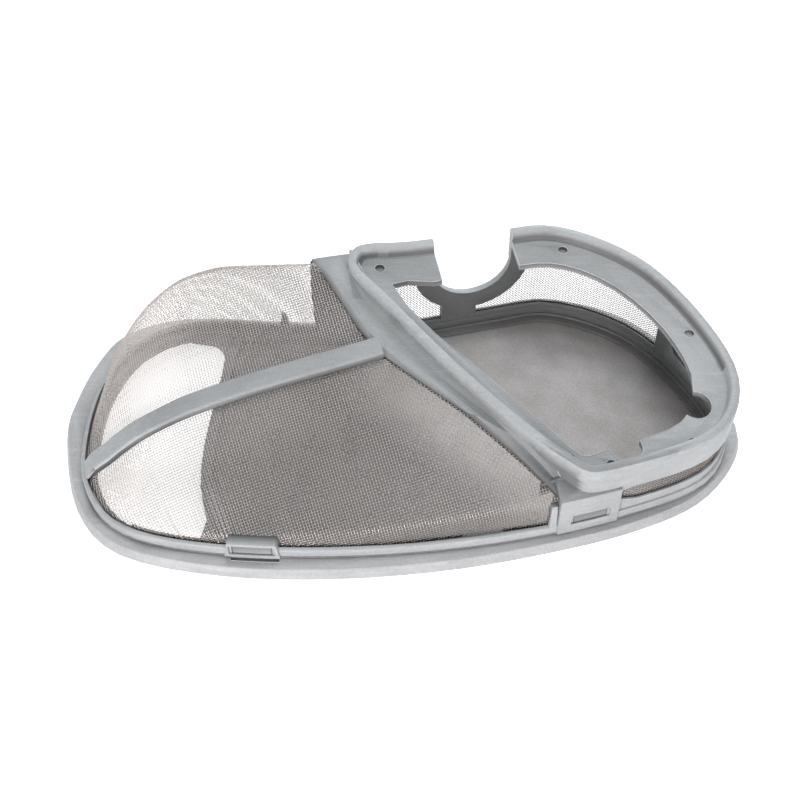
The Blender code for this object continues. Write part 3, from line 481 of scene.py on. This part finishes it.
def moulded_plastic(name, deep, pale, rubbed, film, cloud_scale):
    """Satin moulded plastic: cloudy, flecked and rubbed, with painted shade where the mesh's
    attribute darkens it.
    """
    made, tree, shader = new_material(name, rough=0.45)
    clouds = place_clouding(tree, deep, pale, cloud_scale, fleck_scale=1100.0)
    rubs = place_group(tree, STREAKS, Rub_scale=700.0, Stretch=0.06)
    colour = blend_colours(tree, scaled(tree, rubs.outputs["Mask"], 0.5),
                           clouds.outputs["Colour"], (*rubbed, 1))
    # painted shade: the colour darkens by the amount written on each corner of the mesh
    colour = blend_colours(tree, marked(tree, "film"), colour, (*film, 1))
    tree.links.new(colour, shader.inputs["Base Color"])
    roughness_from(tree, shader, clouds.outputs["Mask"], low=0.38, high=0.55)
    grain = place_group(tree, GRAIN, Pit_scale=2600.0, Ripple_scale=140.0)
    add_bump(tree, shader, grain.outputs["Height"], strength=0.3, distance=0.0001)
    return made


def upper_frame_plastic():
    return moulded_plastic("upper_frame_plastic", deep=(0.37, 0.385, 0.39),
                           pale=(0.47, 0.485, 0.49), rubbed=(0.56, 0.57, 0.58),
                           film=(0.06, 0.06, 0.058), cloud_scale=45.0)


def lower_frame_plastic():
    return moulded_plastic("lower_frame_plastic", deep=(0.41, 0.415, 0.42),
                           pale=(0.52, 0.525, 0.53), rubbed=(0.62, 0.62, 0.62),
                           film=(0.07, 0.068, 0.066), cloud_scale=60.0)


def cloudy_plain(name, rough, deep, pale, cloud_scale, fleck_scale):
    """A material with cloudy colour and nothing else."""
    made, tree, shader = new_material(name, rough)
    clouds = place_clouding(tree, deep, pale, cloud_scale, fleck_scale)
    tree.links.new(clouds.outputs["Colour"], shader.inputs["Base Color"])
    return made


def worn_plastic():
    """The paler, smoother plastic of the painted highlight lines along sharp edges."""
    return cloudy_plain("worn_plastic", 0.35, deep=(0.46, 0.47, 0.475), pale=(0.74, 0.75, 0.76),
                        cloud_scale=90.0, fleck_scale=1400.0)


def joint_residue():
    """Painted shadow in the gap between the two frames."""
    return cloudy_plain("joint_residue", 0.7, deep=(0.17, 0.17, 0.175), pale=(0.27, 0.27, 0.275),
                        cloud_scale=120.0, fleck_scale=900.0)


def woven_steel(name, sunk):
    """Bright wire with painted shade where it passes under another."""
    made, tree, shader = new_material(name, rough=0.32, metal=0.75)
    clouds = place_clouding(tree, (0.88, 0.82, 0.79), (1.0, 0.95, 0.92), cloud_scale=70.0,
                            fleck_scale=1500.0)
    under = add_range(tree, marked(tree, "sunk"), 0.0, SUNK_SPAN)
    colour = blend_colours(tree, under, clouds.outputs["Colour"], (*sunk, 1))
    tree.links.new(colour, shader.inputs["Base Color"])
    roughness_from(tree, shader, clouds.outputs["Mask"], low=0.38, high=0.22)
    return made


def floor_steel():
    """The floor's fine cloth, with more painted shade under the dome than in the box."""
    made, tree, shader = new_material("floor_cloth_steel", rough=0.5, metal=0.3)
    clouds = place_clouding(tree, (0.38, 0.36, 0.35), (0.53, 0.51, 0.50), cloud_scale=90.0,
                            fleck_scale=1300.0)
    across = add_math(tree, "DOT_PRODUCT", object_place(tree), DOME_SIDE,
                      kind="ShaderNodeVectorMath")
    film = add_range(tree, across.outputs["Value"], *DOME_EDGE, 0.0, FLOOR_PAINTED_SHADE)
    colour = blend_colours(tree, film, clouds.outputs["Colour"], (0.12, 0.115, 0.11, 1))
    tree.links.new(colour, shader.inputs["Base Color"])
    weave = place_group(tree, WEAVE, Thread_scale=900.0)
    roughness_from(tree, shader, weave.outputs["Gap"], low=0.45, high=0.65)
    add_bump(tree, shader, weave.outputs["Height"], strength=0.3, distance=0.0001)
    return made


# Mouldings


def merged_copy(node, name):
    """The CAD node's own shape as one merged mesh with smooth sides and crisp edges."""
    mesh = bpy.data.objects[node].data.copy()
    mesh.name = name
    bm = bmesh.new()
    bm.from_mesh(mesh)
    bmesh.ops.remove_doubles(bm, verts=bm.verts, dist=MERGE_DISTANCE)
    bmesh.ops.dissolve_limit(bm, angle_limit=FLAT_ANGLE, verts=bm.verts, edges=bm.edges)
    for face in bm.faces:
        face.smooth = True
    bm.to_mesh(mesh)
    bm.free()
    return new_object(name, mesh)


def round_edges(made):
    """A small round on each moulded edge, and smooth shading between the crisp ones."""
    rounding = made.modifiers.new("edge rounding", "BEVEL")
    rounding.width = EDGE_ROUNDING * MM
    rounding.limit_method = "ANGLE"
    rounding.angle_limit = SMOOTH_ANGLE
    rounding.segments = EDGE_SEGMENTS
    rounding.harden_normals = True
    return plain_mesh(made, made.name)


class Spot:
    """A spot of a moulding, which way it faces, and how it lies to the outline and the cloth."""

    def __init__(self, place, normal, edges, cloth):
        self.place = place
        self.flat = place.xy
        self.normal = normal
        self.level = normal.xy
        _place, index, _away = edges.find(self.flat.to_3d())
        self.outward = OUTLINE.normal(index)
        self.inset = (OUTLINE.points[index] - self.flat).dot(self.outward)
        self.below_rim = rim_z(self.flat) - place.z
        _place, _index, self.to_cloth = cloth.find(place)


def wall_shade(spot):
    """Painted shade on the inner side of the box's walls, with little at the right end."""
    if not WALL_INSET[0] < spot.inset < WALL_INSET[1]:
        return 0.0
    film = WALL_PAINTED_SHADE * between(-spot.level.dot(spot.outward), *WALL_FACING)
    film *= between(spot.below_rim, *WALL_DEPTH)
    return film * (1.0 - RIGHT_END_LESS * between(spot.outward.x, *RIGHT_END_FACING))


def rim_side_shade(spot):
    """Painted shade on the side of the rim's ridge that looks into the box."""
    if spot.below_rim >= LEDGE_DEPTH or max(-spot.level.y, spot.level.x) <= RIM_SIDE_TURN:
        return 0.0
    facing = spot.level.dot((BOX_MIDDLE - spot.flat).normalized())
    return (RIM_SIDE_PAINTED_SHADE * between(facing, *RIM_SIDE_FACING)
            * between(spot.below_rim, *RIM_SIDE_DEPTH))


def low_shade(spot):
    """Painted shade on what lies low inside the ring."""
    return LOW_PAINTED_SHADE if spot.place.z < LOW_HEIGHT and spot.inset > LOW_INSET else 0.0


def shelf_shade(spot):
    """Painted shade on the shelf in the box's front corner."""
    place = spot.place
    if spot.normal.z <= SHELF_LEVEL or place.x <= SHELF_START.x or place.y >= SHELF_START.y:
        return 0.0
    return SHELF_PAINTED_SHADE * between(place.z, SHELF_START.z, SHELF_START.z + SHELF_RISE)


def ledge_shade(spot):
    """Painted shade on the recessed ledge at the back."""
    if spot.normal.z <= LEDGE_LEVEL or not LEDGE_START < spot.below_rim < LEDGE_DEPTH:
        return 0.0
    return LEDGE_PAINTED_SHADE * between(spot.outward.y, *LEDGE_FACING)


def fading(value, near, far):
    """1 up to near, 0 from far on, and in step between."""
    return between(far - value, 0.0, far - near)


def cross_shade(spot):
    """Painted shade on the cross frame beside the dome cloth, more on its lower part."""
    if spot.place.x <= CROSS_START_X:
        return 0.0
    film = CROSS_PAINTED_SHADE + CROSS_LOWER_PAINTED_SHADE * fading(spot.place.z, *CROSS_LOWER_FADE)
    film *= fading(spot.to_cloth, *CROSS_FADE)
    film *= between(spot.place.z, *CROSS_HEIGHT)
    return film * between(spot.below_rim, *CROSS_DEPTH)


def rib_shade(spot):
    """Painted shade on the upper part of the rib."""
    return RIB_PAINTED_SHADE * fading(spot.to_cloth, *RIB_FADE) * between(spot.place.z, *RIB_HEIGHT)


def cloth_edge_shade(spot):
    """Painted shade where plastic meets the dome cloth, farther up its sides."""
    reach = SHADE_SIDE_REACH if spot.normal.z < SHADE_SIDE_LEVEL else SHADE_REACH
    return fading(spot.to_cloth, SHADE_TOUCH, reach) ** SHADE_FADE_POWER


def shade_at(spot):
    """How much painted shade a spot of the moulding carries, from 0 to 1."""
    film = max(wall_shade(spot), rim_side_shade(spot), low_shade(spot), shelf_shade(spot),
               ledge_shade(spot))
    if spot.inset < RING_INSET:
        return film
    return max(film, cross_shade(spot), rib_shade(spot), cloth_edge_shade(spot))


def add_painted_shade(made, tongues, edges, cloth):
    """Write the painted shade on each corner. The tongues in the clips' recesses carry it too."""
    mesh = made.data
    film = mesh.attributes.new("film", "FLOAT", "CORNER")
    middle = FLANGE_MIDDLE.to_3d()
    values = []
    for face in mesh.polygons:
        for vertex in face.vertices:
            place = mesh.vertices[vertex].co / MM + middle
            amount = shade_at(Spot(place, face.normal, edges, cloth))
            if tongues:
                amount = max(amount, TONGUE_PAINTED_SHADE * between(place.z, *TONGUE_RISE))
            values.append(amount)
    film.data.foreach_set("value", values)


def drawn_lines(name, points, lines, values, facings):
    """An object of plain lines with values for each point and the way that it faces."""
    mesh = bpy.data.meshes.new(name)
    mesh.from_pydata(points, lines, [])
    for label, numbers in values.items():
        mesh.attributes.new(label, "FLOAT", "POINT").data.foreach_set("value", numbers)
    facing = mesh.attributes.new("facing", "FLOAT_VECTOR", "POINT")
    facing.data.foreach_set("vector", facings)
    return new_object(name, mesh)


def outer_edges(made, edges, cloth):
    """The crisp outer edges of a moulding that get a painted highlight, as an object of lines."""
    bm = bmesh.new()
    bm.from_mesh(made.data)
    middle = FLANGE_MIDDLE.to_3d()
    points, lines = [], []
    for edge in bm.edges:
        if len(edge.link_faces) != 2 or not edge.is_convex:
            continue
        if edge.calc_face_angle() < HIGHLIGHT_ANGLE or edge.calc_length() < HIGHLIGHT_SHORTEST * MM:
            continue
        facing = (edge.link_faces[0].normal + edge.link_faces[1].normal).normalized()
        place = (edge.verts[0].co + edge.verts[1].co) / 2 / MM + middle
        if facing.z > HIGHLIGHT_UPWARD and highlighted_spot(Spot(place, facing, edges, cloth)):
            lines.append((len(points), len(points) + 1))
            points += [end.co - facing * HIGHLIGHT_DEPTH * MM for end in edge.verts]
    bm.free()
    return drawn_lines(made.name + "_edge_lines", points, lines, {"lift": [0.0] * len(points)},
                       [0.0] * 3 * len(points))


def highlighted_spot(spot):
    """Whether a spot is on the box's rim or round the base flange, where edges get a painted
    highlight.
    """
    if spot.below_rim < 2 * LEDGE_DEPTH:
        return spot.to_cloth > SHADE_SIDE_REACH
    return spot.place.z < BASE_TOP and spot.inset < 0.0


def build_edge_highlights(made, name, tree, edges, cloth, paint):
    # pale tubes along the edges are painted highlights
    edge_highlight = wires_from(outer_edges(made, edges, cloth), name + "_worn_edges", tree, paint,
                      radius=HIGHLIGHT_WIDTH / 2, crimp=0.0, sides=HIGHLIGHT_SIDES)
    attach(edge_highlight, "root")


def solid_from(bm, name, paint):
    """A closed shape of one material as an object."""
    bmesh.ops.recalc_face_normals(bm, faces=bm.faces)
    mesh = bpy.data.meshes.new(name)
    bm.to_mesh(mesh)
    bm.free()
    mesh.materials.append(paint)
    return new_object(name, mesh)


def build_joint_line(paint):
    """A dark ribbon of painted shadow in the snap joint, where the upper frame sits on the base."""
    bm = bmesh.new()
    rows = []
    for out, rise in JOINT_LINE:
        rows.append([bm.verts.new(to_frame(Vector((*p, BASE_TOP + rise))))
                     for p in OUTLINE.offset(out)])
    for row, after in zip(rows, rows[1:] + rows[:1]):
        for k in range(len(row)):
            bm.faces.new((row[k - 1], row[k], after[k], after[k - 1]))
    made = solid_from(bm, "joint_line", paint)
    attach(made, "root")


def place_tree(places):
    """A search for the nearest of some places."""
    tree = KDTree(len(places))
    for index, place in enumerate(places):
        tree.insert(place.to_3d(), index)
    tree.balance()
    return tree


def dress_moulding(node, name, paint, edge_highlight, tree, edges, cloth):
    made = merged_copy(node, name)
    build_edge_highlights(made, name, tree, edges, cloth, edge_highlight)
    made = round_edges(made)
    add_painted_shade(made, node == "lower_frame", edges, cloth)
    made.data.materials.clear()
    made.data.materials.append(paint)
    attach(made, "root")
    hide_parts(node)


# Cloths


def dome_grid():
    """Control rows of the dome cloth: ring, shoulder, crown, rib, crown, fold, ring."""
    columns = []
    for number, station in enumerate(DOME_STATIONS):
        back, inset_b, shoulder, share, top, front, inset_f, fold = station
        place_b, out_b = OUTLINE.at(OUTLINE.find(back, 1))
        place_f, out_f = OUTLINE.at(OUTLINE.find(front, -1))
        rib = Vector((*TIP.lerp(RIB_END, share), top))
        high_b = Vector((*(place_b - out_b * inset_b), shoulder))
        high_f = Vector((*(place_f - out_f * inset_f), fold))
        rows = [Vector((*(place_b - out_b * CLOTH_INSET), RING_GROOVE_Z)), high_b,
                high_b.lerp(rib, 0.5) + Vector((0, 0, DOME_CROWN_BACK)), rib,
                rib.lerp(high_f, 0.5) + Vector((0, 0, DOME_CROWN_FRONT[number])), high_f,
                Vector((*(place_f - out_f * CLOTH_INSET), RING_GROOVE_Z))]
        columns.append(tip_row() if number == 0 else rows)
    return columns


def tip_row():
    """Places on the ring round the tip, from the first back to the first front station."""
    start = OUTLINE.find(DOME_STATIONS[0][0], 1)
    tip = OUTLINE.find(TIP.y, 1, axis=1)
    end = OUTLINE.find(DOME_STATIONS[0][5], -1)
    if start < tip:
        start += OUTLINE.length
    stops = [start + (tip - start) * k / 3 for k in range(3)]
    stops += [tip + (end - tip) * k / 3 for k in range(4)]
    row = []
    for s in stops:
        place, outward = OUTLINE.at(s)
        row.append(Vector((*(place - outward * CLOTH_INSET), RING_GROOVE_Z)))
    return row


class Row:
    """One line of the dome cloth from the tip's ring to the cross frame, run on past both."""

    def __init__(self, points):
        first = points[0] + (points[0] - points[1]).normalized() * TIP_MARGIN
        last = points[-1] + (points[-1] - points[-2]).normalized() * CROSS_MARGIN
        self.points = [first] + points + [last]
        self.reach = [-TIP_MARGIN]
        for a, b in zip(self.points, self.points[1:]):
            self.reach.append(self.reach[-1] + (b - a).length)
        self.length = self.reach[-2]

    def at(self, length):
        index = 0
        while index < len(self.points) - 2 and self.reach[index + 1] < length:
            index += 1
        a, b = self.points[index], self.points[index + 1]
        share = (length - self.reach[index]) / (self.reach[index + 1] - self.reach[index])
        return a.lerp(b, share), (b - a).normalized()

    def meet(self, base, ahead):
        """Where the line passes through a plane: its place and how far it is inside the tip's
        ring and the cross frame."""
        before = (self.points[0] - base).dot(ahead)
        for index, point in enumerate(self.points[1:]):
            after = (point - base).dot(ahead)
            if before <= 0.0 < after:
                share = before / (before - after)
                place = self.points[index].lerp(point, share)
                length = self.reach[index] + share * (self.reach[index + 1] - self.reach[index])
                return place, length, self.length - length
            before = after
        return None


def dome_rows():
    across = [smooth_open(column, DOME_ROW_STEPS, SPLINE_PULL) for column in dome_grid()]
    return [Row(smooth_open(list(line), DOME_COLUMN_STEPS, SPLINE_PULL)) for line in zip(*across)]


def cross_wire(rows, base, ahead):
    """A line over the dome in one plane: places every pitch from the rib both ways, each with
    how far it is inside the dome's edges and whether the cross frame is the nearest edge."""
    met = [row.meet(base, ahead) for row in rows]
    line = {}
    if met[RIB_ROW] is None:
        return line
    for way in (-1, 1):
        run = [met[RIB_ROW]]
        index = RIB_ROW + way
        while 0 <= index < len(rows) and met[index] is not None:
            run.append(met[index])
            index += way
        if len(run) > 1:
            line.update(paced_side(run, way, index in (-1, len(rows))))
    return line


def paced_side(run, way, to_ring):
    """One side of a line over the dome, paced out from the rib to a foot in the plastic."""
    last, before = run[-1], run[-2]
    if to_ring:
        foot = last[0] - Vector((0, 0, FOOT_DEPTH))
    else:
        foot = last[0] + (last[0] - before[0]).normalized() * CLOTH_BITE
    reach = [0.0]
    for a, b in zip(run, run[1:]):
        reach.append(reach[-1] + (b[0] - a[0]).length)
    own = reach[-1]
    run.append((foot, last[1], last[2]))
    reach.append(own + (foot - last[0]).length)
    side = {}
    segment = 0
    step = 0
    while step * DOME_PITCH < reach[-1]:
        want = step * DOME_PITCH
        while reach[segment + 1] < want:
            segment += 1
        share = (want - reach[segment]) / (reach[segment + 1] - reach[segment])
        a, b = run[segment], run[segment + 1]
        from_tip = a[1] + (b[1] - a[1]) * share
        from_cross = a[2] + (b[2] - a[2]) * share
        inside = min(from_tip, from_cross, own - want)
        side[way * step] = (a[0].lerp(b[0], share), inside, from_cross <= inside)
        step += 1
    return side


def dome_lattice():
    """The cloth's crossings: number along the rib and number across to place and edge."""
    rows = dome_rows()
    rib = rows[RIB_ROW]
    lattice = {}
    first = -int(TIP_MARGIN / DOME_PITCH)
    last = int((rib.length + CROSS_MARGIN) / DOME_PITCH)
    for number in range(first, last):
        base, ahead = rib.at(number * DOME_PITCH)
        for step, crossing in cross_wire(rows, base, ahead).items():
            lattice[number, step] = crossing
    return lattice


def window_lattice(name):
    """Crossings of a window's slanting cloth, each with its distance inside the cloth's edge."""
    (x0, side0), (x1, side1), sill, band = WINDOWS[name]
    s0, s1 = OUTLINE.find(x0, side0), OUTLINE.find(x1, side1)
    if s1 < s0:
        s1 += OUTLINE.length
    saddle, _outward = OUTLINE.at(OUTLINE.find(SADDLE_X, 1))
    half_step = WINDOW_PITCH * 0.5 ** 0.5
    low = sill - CLOTH_BITE
    lattice = {}
    for column in range(-MARGIN_WIRES, int((s1 - s0) / half_step) + MARGIN_WIRES + 1):
        s = s0 + column * half_step
        place, outward = OUTLINE.at(s)
        spot = place - outward * CLOTH_INSET
        high = rim_z(place) - band + CLOTH_BITE
        for level in range(-MARGIN_WIRES, int((high - low) / half_step) + MARGIN_WIRES + 1):
            if (column + level) % 2:
                continue
            z = low + level * half_step
            inside = min(z - low, high - z, s - s0 + CLOTH_BITE, s1 + CLOTH_BITE - s)
            if name.startswith("back"):
                away = Vector(((spot - saddle).length, z - SADDLE_CENTRE_Z)).length
                inside = min(inside, away - SADDLE_KEEP_RADIUS)
            key = ((level + column) // 2, (level - column) // 2)
            lattice[key] = (Vector((*spot, z)), inside, True)
    return lattice


def facing_at(lattice, i, j):
    """The cloth's outward normal at a crossing, from its neighbours."""
    here = lattice[i, j][0]
    ahead = lattice.get((i + 1, j), lattice[i, j])[0] - lattice.get((i - 1, j), (here,))[0]
    across = lattice.get((i, j + 1), lattice[i, j])[0] - lattice.get((i, j - 1), (here,))[0]
    return ahead.cross(across).normalized()


def wire_runs(lattice, along):
    """Unbroken runs of crossings, with a part step past each end into the plastic."""
    lines = {}
    for key in sorted(lattice):
        line = key[1] if along else key[0]
        lines.setdefault(line, []).append(key)
    runs = []
    for keys in lines.values():
        keys.sort(key=lambda k: k[0] if along else k[1])
        run = []
        for before, key in zip([None] + keys, keys):
            if lattice[key][1] >= 0.0:
                if not run and before is not None and next_to(before, key):
                    run.append(edge_point(lattice, key, before))
                run.append((lattice[key][0], key))
            elif run:
                if next_to(run[-1][1], key):
                    run.append(edge_point(lattice, run[-1][1], key))
                runs.append(run)
                run = []
        if run:
            runs.append(run)
    return [run for run in runs if len(run) > 2]


def next_to(a, b):
    """Whether two crossings are neighbours on one wire."""
    return abs(a[0] - b[0]) + abs(a[1] - b[1]) == 1


def edge_point(lattice, within, beyond):
    """The place where a wire passes under the plastic, a bite past the cloth's own edge."""
    a, b = lattice[within], lattice[beyond]
    share = min(a[1] / (a[1] - b[1]) if a[1] > b[1] else 1.0, 1.0)
    edge = a[0].lerp(b[0], share)
    if a[2]:
        return edge + (b[0] - a[0]).normalized() * CLOTH_BITE * CROSS_BITE_SHARE, within
    return edge - Vector((0, 0, CLOTH_BITE)), within


def wire_lines(name, lattice, along):
    """A line for each wire, with which way it bends at each crossing and how much painted shade it
    carries there.
    """
    points, lines, lifts, sunk, facings = [], [], [], [], []
    for run in wire_runs(lattice, along):
        for number, (place, key) in enumerate(run):
            if number:
                lines.append((len(points) - 1, len(points)))
            points.append(to_frame(place))
            sign = 1.0 if (key[0] + key[1]) % 2 == 0 else -1.0
            lifts.append(sign if along else -sign)
            over = lifts[-1] > 0
            sunk.append((LONG_WIRE_SHADE if along else 0.0) if over else 1.0)
            facings += list(facing_at(lattice, *key))
    return drawn_lines(name, points, lines, {"lift": lifts, "sunk": sunk}, facings)


def read_attribute(tree, name, kind):
    node = tree.nodes.new("GeometryNodeInputNamedAttribute")
    node.data_type = kind
    node.inputs["Name"].default_value = name
    return [s for s in node.outputs if s.name == "Attribute" and s.enabled][0]


def crimped_wire_tree():
    """Each line becomes a round wire, bent over and under the wires that it crosses."""
    tree = bpy.data.node_groups.new("crimped wires", "GeometryNodeTree")
    face = tree.interface
    face.new_socket("Geometry", in_out="INPUT", socket_type="NodeSocketGeometry")
    for label, kind, value in (("Wire radius", "NodeSocketFloat", DOME_WIRE * MM),
                               ("Crimp height", "NodeSocketFloat", DOME_WIRE * MM),
                               ("Wire sides", "NodeSocketInt", WIRE_SIDES)):
        face.new_socket(label, in_out="INPUT", socket_type=kind).default_value = value
    face.new_socket("Material", in_out="INPUT", socket_type="NodeSocketMaterial")
    face.new_socket("Geometry", in_out="OUTPUT", socket_type="NodeSocketGeometry")
    entry = tree.nodes.new("NodeGroupInput")
    leave = tree.nodes.new("NodeGroupOutput")
    link = tree.links.new
    height = add_math(tree, "MULTIPLY", read_attribute(tree, "lift", "FLOAT"),
                      entry.outputs["Crimp height"])
    offset = add_math(tree, "SCALE", read_attribute(tree, "facing", "FLOAT_VECTOR"),
                      kind="ShaderNodeVectorMath")
    link(height.outputs["Value"], offset.inputs["Scale"])
    bend = tree.nodes.new("GeometryNodeSetPosition")
    link(entry.outputs["Geometry"], bend.inputs["Geometry"])
    link(offset.outputs["Vector"], bend.inputs["Offset"])
    curve = tree.nodes.new("GeometryNodeMeshToCurve")
    link(bend.outputs["Geometry"], curve.inputs["Mesh"])
    circle = tree.nodes.new("GeometryNodeCurvePrimitiveCircle")
    link(entry.outputs["Wire sides"], circle.inputs["Resolution"])
    link(entry.outputs["Wire radius"], circle.inputs["Radius"])
    tube = tree.nodes.new("GeometryNodeCurveToMesh")
    tube.inputs["Fill Caps"].default_value = True
    link(curve.outputs["Curve"], tube.inputs["Curve"])
    link(circle.outputs["Curve"], tube.inputs["Profile Curve"])
    smooth = tree.nodes.new("GeometryNodeSetShadeSmooth")
    link(tube.outputs["Mesh"], smooth.inputs["Geometry"])
    real = tree.nodes.new("GeometryNodeRealizeInstances")
    link(smooth.outputs["Geometry"], real.inputs["Geometry"])
    paint = tree.nodes.new("GeometryNodeSetMaterial")
    link(real.outputs["Geometry"], paint.inputs["Geometry"])
    link(entry.outputs["Material"], paint.inputs["Material"])
    link(paint.outputs["Geometry"], leave.inputs["Geometry"])
    return tree


def set_input(modifier, label, value):
    for item in modifier.node_group.interface.items_tree:
        if item.in_out == "INPUT" and item.name == label:
            modifier[item.identifier] = value


def plain_mesh(source, name):
    """The finished shape of an object with live modifiers, as a mesh of its own."""
    depsgraph = bpy.context.evaluated_depsgraph_get()
    mesh = bpy.data.meshes.new_from_object(source.evaluated_get(depsgraph))
    bpy.data.objects.remove(source, do_unlink=True)
    mesh.name = name
    return new_object(name, mesh)


def wires_from(lines, name, tree, paint, radius, crimp, sides):
    """Draw a wire along each line, and keep the result as a plain mesh."""
    wires = lines.modifiers.new("crimped wires", "NODES")
    wires.node_group = tree
    for label, value in (("Wire radius", radius * MM), ("Crimp height", crimp * MM),
                         ("Wire sides", sides), ("Material", paint)):
        set_input(wires, label, value)
    return plain_mesh(lines, name)


def weave_cloth(name, lattice, radius, tree, paint, node):
    """A cloth's two sets of wires, each a piece of its own that stands for the CAD's sheet."""
    for along, kind in ((True, "long_wires"), (False, "cross_wires")):
        made = wires_from(wire_lines(name + "_lines", lattice, along), name + "_" + kind, tree,
                          paint, radius, radius + CRIMP, WIRE_SIDES)
        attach(made, "root")
        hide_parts(node)


def floor_outline():
    """The floor cloth's edge, moulded a bite into the base's border."""
    s0, s1 = OUTLINE.find(FLOOR_BACK_X, 1), OUTLINE.find(FLOOR_FRONT_X, -1)
    if s1 < s0:
        s1 += OUTLINE.length
    edge = []
    for k in range(FLOOR_EDGE_STEPS + 1):
        place, outward = OUTLINE.at(s0 + (s1 - s0) * k / FLOOR_EDGE_STEPS)
        edge.append(place - outward * FLOOR_BORDER)
    bar = smooth_open([Vector(k) for k in FLOOR_BAR_KNOTS], FLOOR_BAR_STEPS)
    edge += [p + Vector((FLOOR_BAR_WIDTH, 0)) for p in reversed(bar)]
    return Outline(edge).offset(CLOTH_BITE)


def build_floor_cloth(paint):
    bm = bmesh.new()
    edge = floor_outline()
    rings = []
    for z in (FLOOR_Z - FLOOR_THICKNESS / 2, FLOOR_Z + FLOOR_THICKNESS / 2):
        rings.append([bm.verts.new(to_frame(Vector((*p, z)))) for p in edge])
    low, high = rings
    bm.faces.new(low)
    bm.faces.new(list(reversed(high)))
    for k in range(len(edge)):
        bm.faces.new((low[k - 1], high[k - 1], high[k], low[k]))
    made = solid_from(bm, "floor_cloth", paint)
    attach(made, "root")
    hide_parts("floor_mesh")


# Studio


def seen_directly(tree):
    """1 for what the camera sees itself, in a gloss or through glass, and 0 for lighting."""
    path = tree.nodes.new("ShaderNodeLightPath")
    camera_or_gloss = add_math(tree, "MAXIMUM", path.outputs["Is Camera Ray"],
                               path.outputs["Is Glossy Ray"]).outputs["Value"]
    return add_math(tree, "MAXIMUM", camera_or_gloss,
                    path.outputs["Is Transmission Ray"]).outputs["Value"]


def build_floor():
    made, tree, shader = new_material("studio_floor_white", rough=0.9)
    shader.inputs["Base Color"].default_value = (0.86, 0.86, 0.86, 1)
    shader.inputs["Emission Color"].default_value = (1, 1, 1, 1)
    tree.links.new(scaled(tree, seen_directly(tree), FLOOR_GLOW),
                   shader.inputs["Emission Strength"])
    mesh = bpy.data.meshes.new("studio_floor")
    corners = [(x * FLOOR_HALF, y * FLOOR_HALF, 0) for x, y in ((-1, -1), (1, -1), (1, 1), (-1, 1))]
    mesh.from_pydata(corners, [], [(0, 1, 2, 3)])
    mesh.materials.append(made)
    floor = new_object("studio_floor", mesh)


def build_world():
    world = bpy.data.worlds.new("studio_world")
    world.use_nodes = True
    tree = world.node_tree
    sky = tree.nodes["Background"]
    sky.inputs["Color"].default_value = (0.96, 0.98, 1.0, 1)
    tree.links.new(add_range(tree, seen_directly(tree), 0.0, 1.0, SKY_LIGHT, 1.0),
                   sky.inputs["Strength"])
    bpy.context.scene.world = world


def add_lamp(name, place, size, power, colour):
    """A round lamp that points at the middle of the part."""
    lamp = bpy.data.lights.new(name, "AREA")
    lamp.shape = "DISK"
    lamp.size = size
    lamp.energy = power
    lamp.color = colour
    made = new_object(name, lamp)
    made.location = place
    aim = Vector((0.0, 0.0, 0.02)) - Vector(place)
    made.rotation_euler = aim.to_track_quat("-Z", "Y").to_euler()


def build_lights():
    add_lamp("overhead_lamp", (0.1, 0.3, 1.1), size=0.8, power=4.8, colour=COOL_WHITE)
    add_lamp("back_lamp", (0.3, 1.1, 0.6), size=0.8, power=6.5, colour=COOL_BLUE)
    add_lamp("front_lamp", (-0.45, -1.1, 0.16), size=0.3, power=8.2, colour=WARM_WHITE)
    add_lamp("right_lamp", (0.6, -1.1, 0.2), size=0.3, power=3.8, colour=WARM_WHITE)


def build_camera():
    camera = bpy.data.cameras.new("camera")
    camera.lens = CAMERA_LENS
    camera.sensor_width = SENSOR_WIDTH
    camera.clip_start = NEAREST_SEEN
    made = new_object("camera", camera)
    made.location = CAMERA_PLACE
    made.rotation_euler = (CAMERA_TILT, 0.0, 0.0)
    bpy.context.scene.camera = made


def build_object():
    dome = dome_lattice()
    edges = place_tree(OUTLINE.points)
    cloth = place_tree([place for place, inside, _cross in dome.values() if inside > 0.0])
    tree = crimped_wire_tree()
    edge_highlight = worn_plastic()
    for node, name, paint in (("upper_frame", "upper_moulding", upper_frame_plastic()),
                              ("lower_frame", "lower_moulding", lower_frame_plastic())):
        dress_moulding(node, name, paint, edge_highlight, tree, edges, cloth)
    build_joint_line(joint_residue())
    weave_cloth("dome_cloth", dome, DOME_WIRE, tree, woven_steel("dome_wire_steel", DOME_SUNK_SHADE),
                "dome_mesh")
    steel = woven_steel("window_wire_steel", WINDOW_SUNK_SHADE)
    for name in WINDOWS:
        weave_cloth(name, window_lattice(name), WINDOW_WIRE, tree, steel, name + "_mesh")
    build_floor_cloth(floor_steel())


build_camera()
build_world()
build_lights()
build_floor()
build_object()
bpy.context.scene.view_settings.view_transform = "Standard"
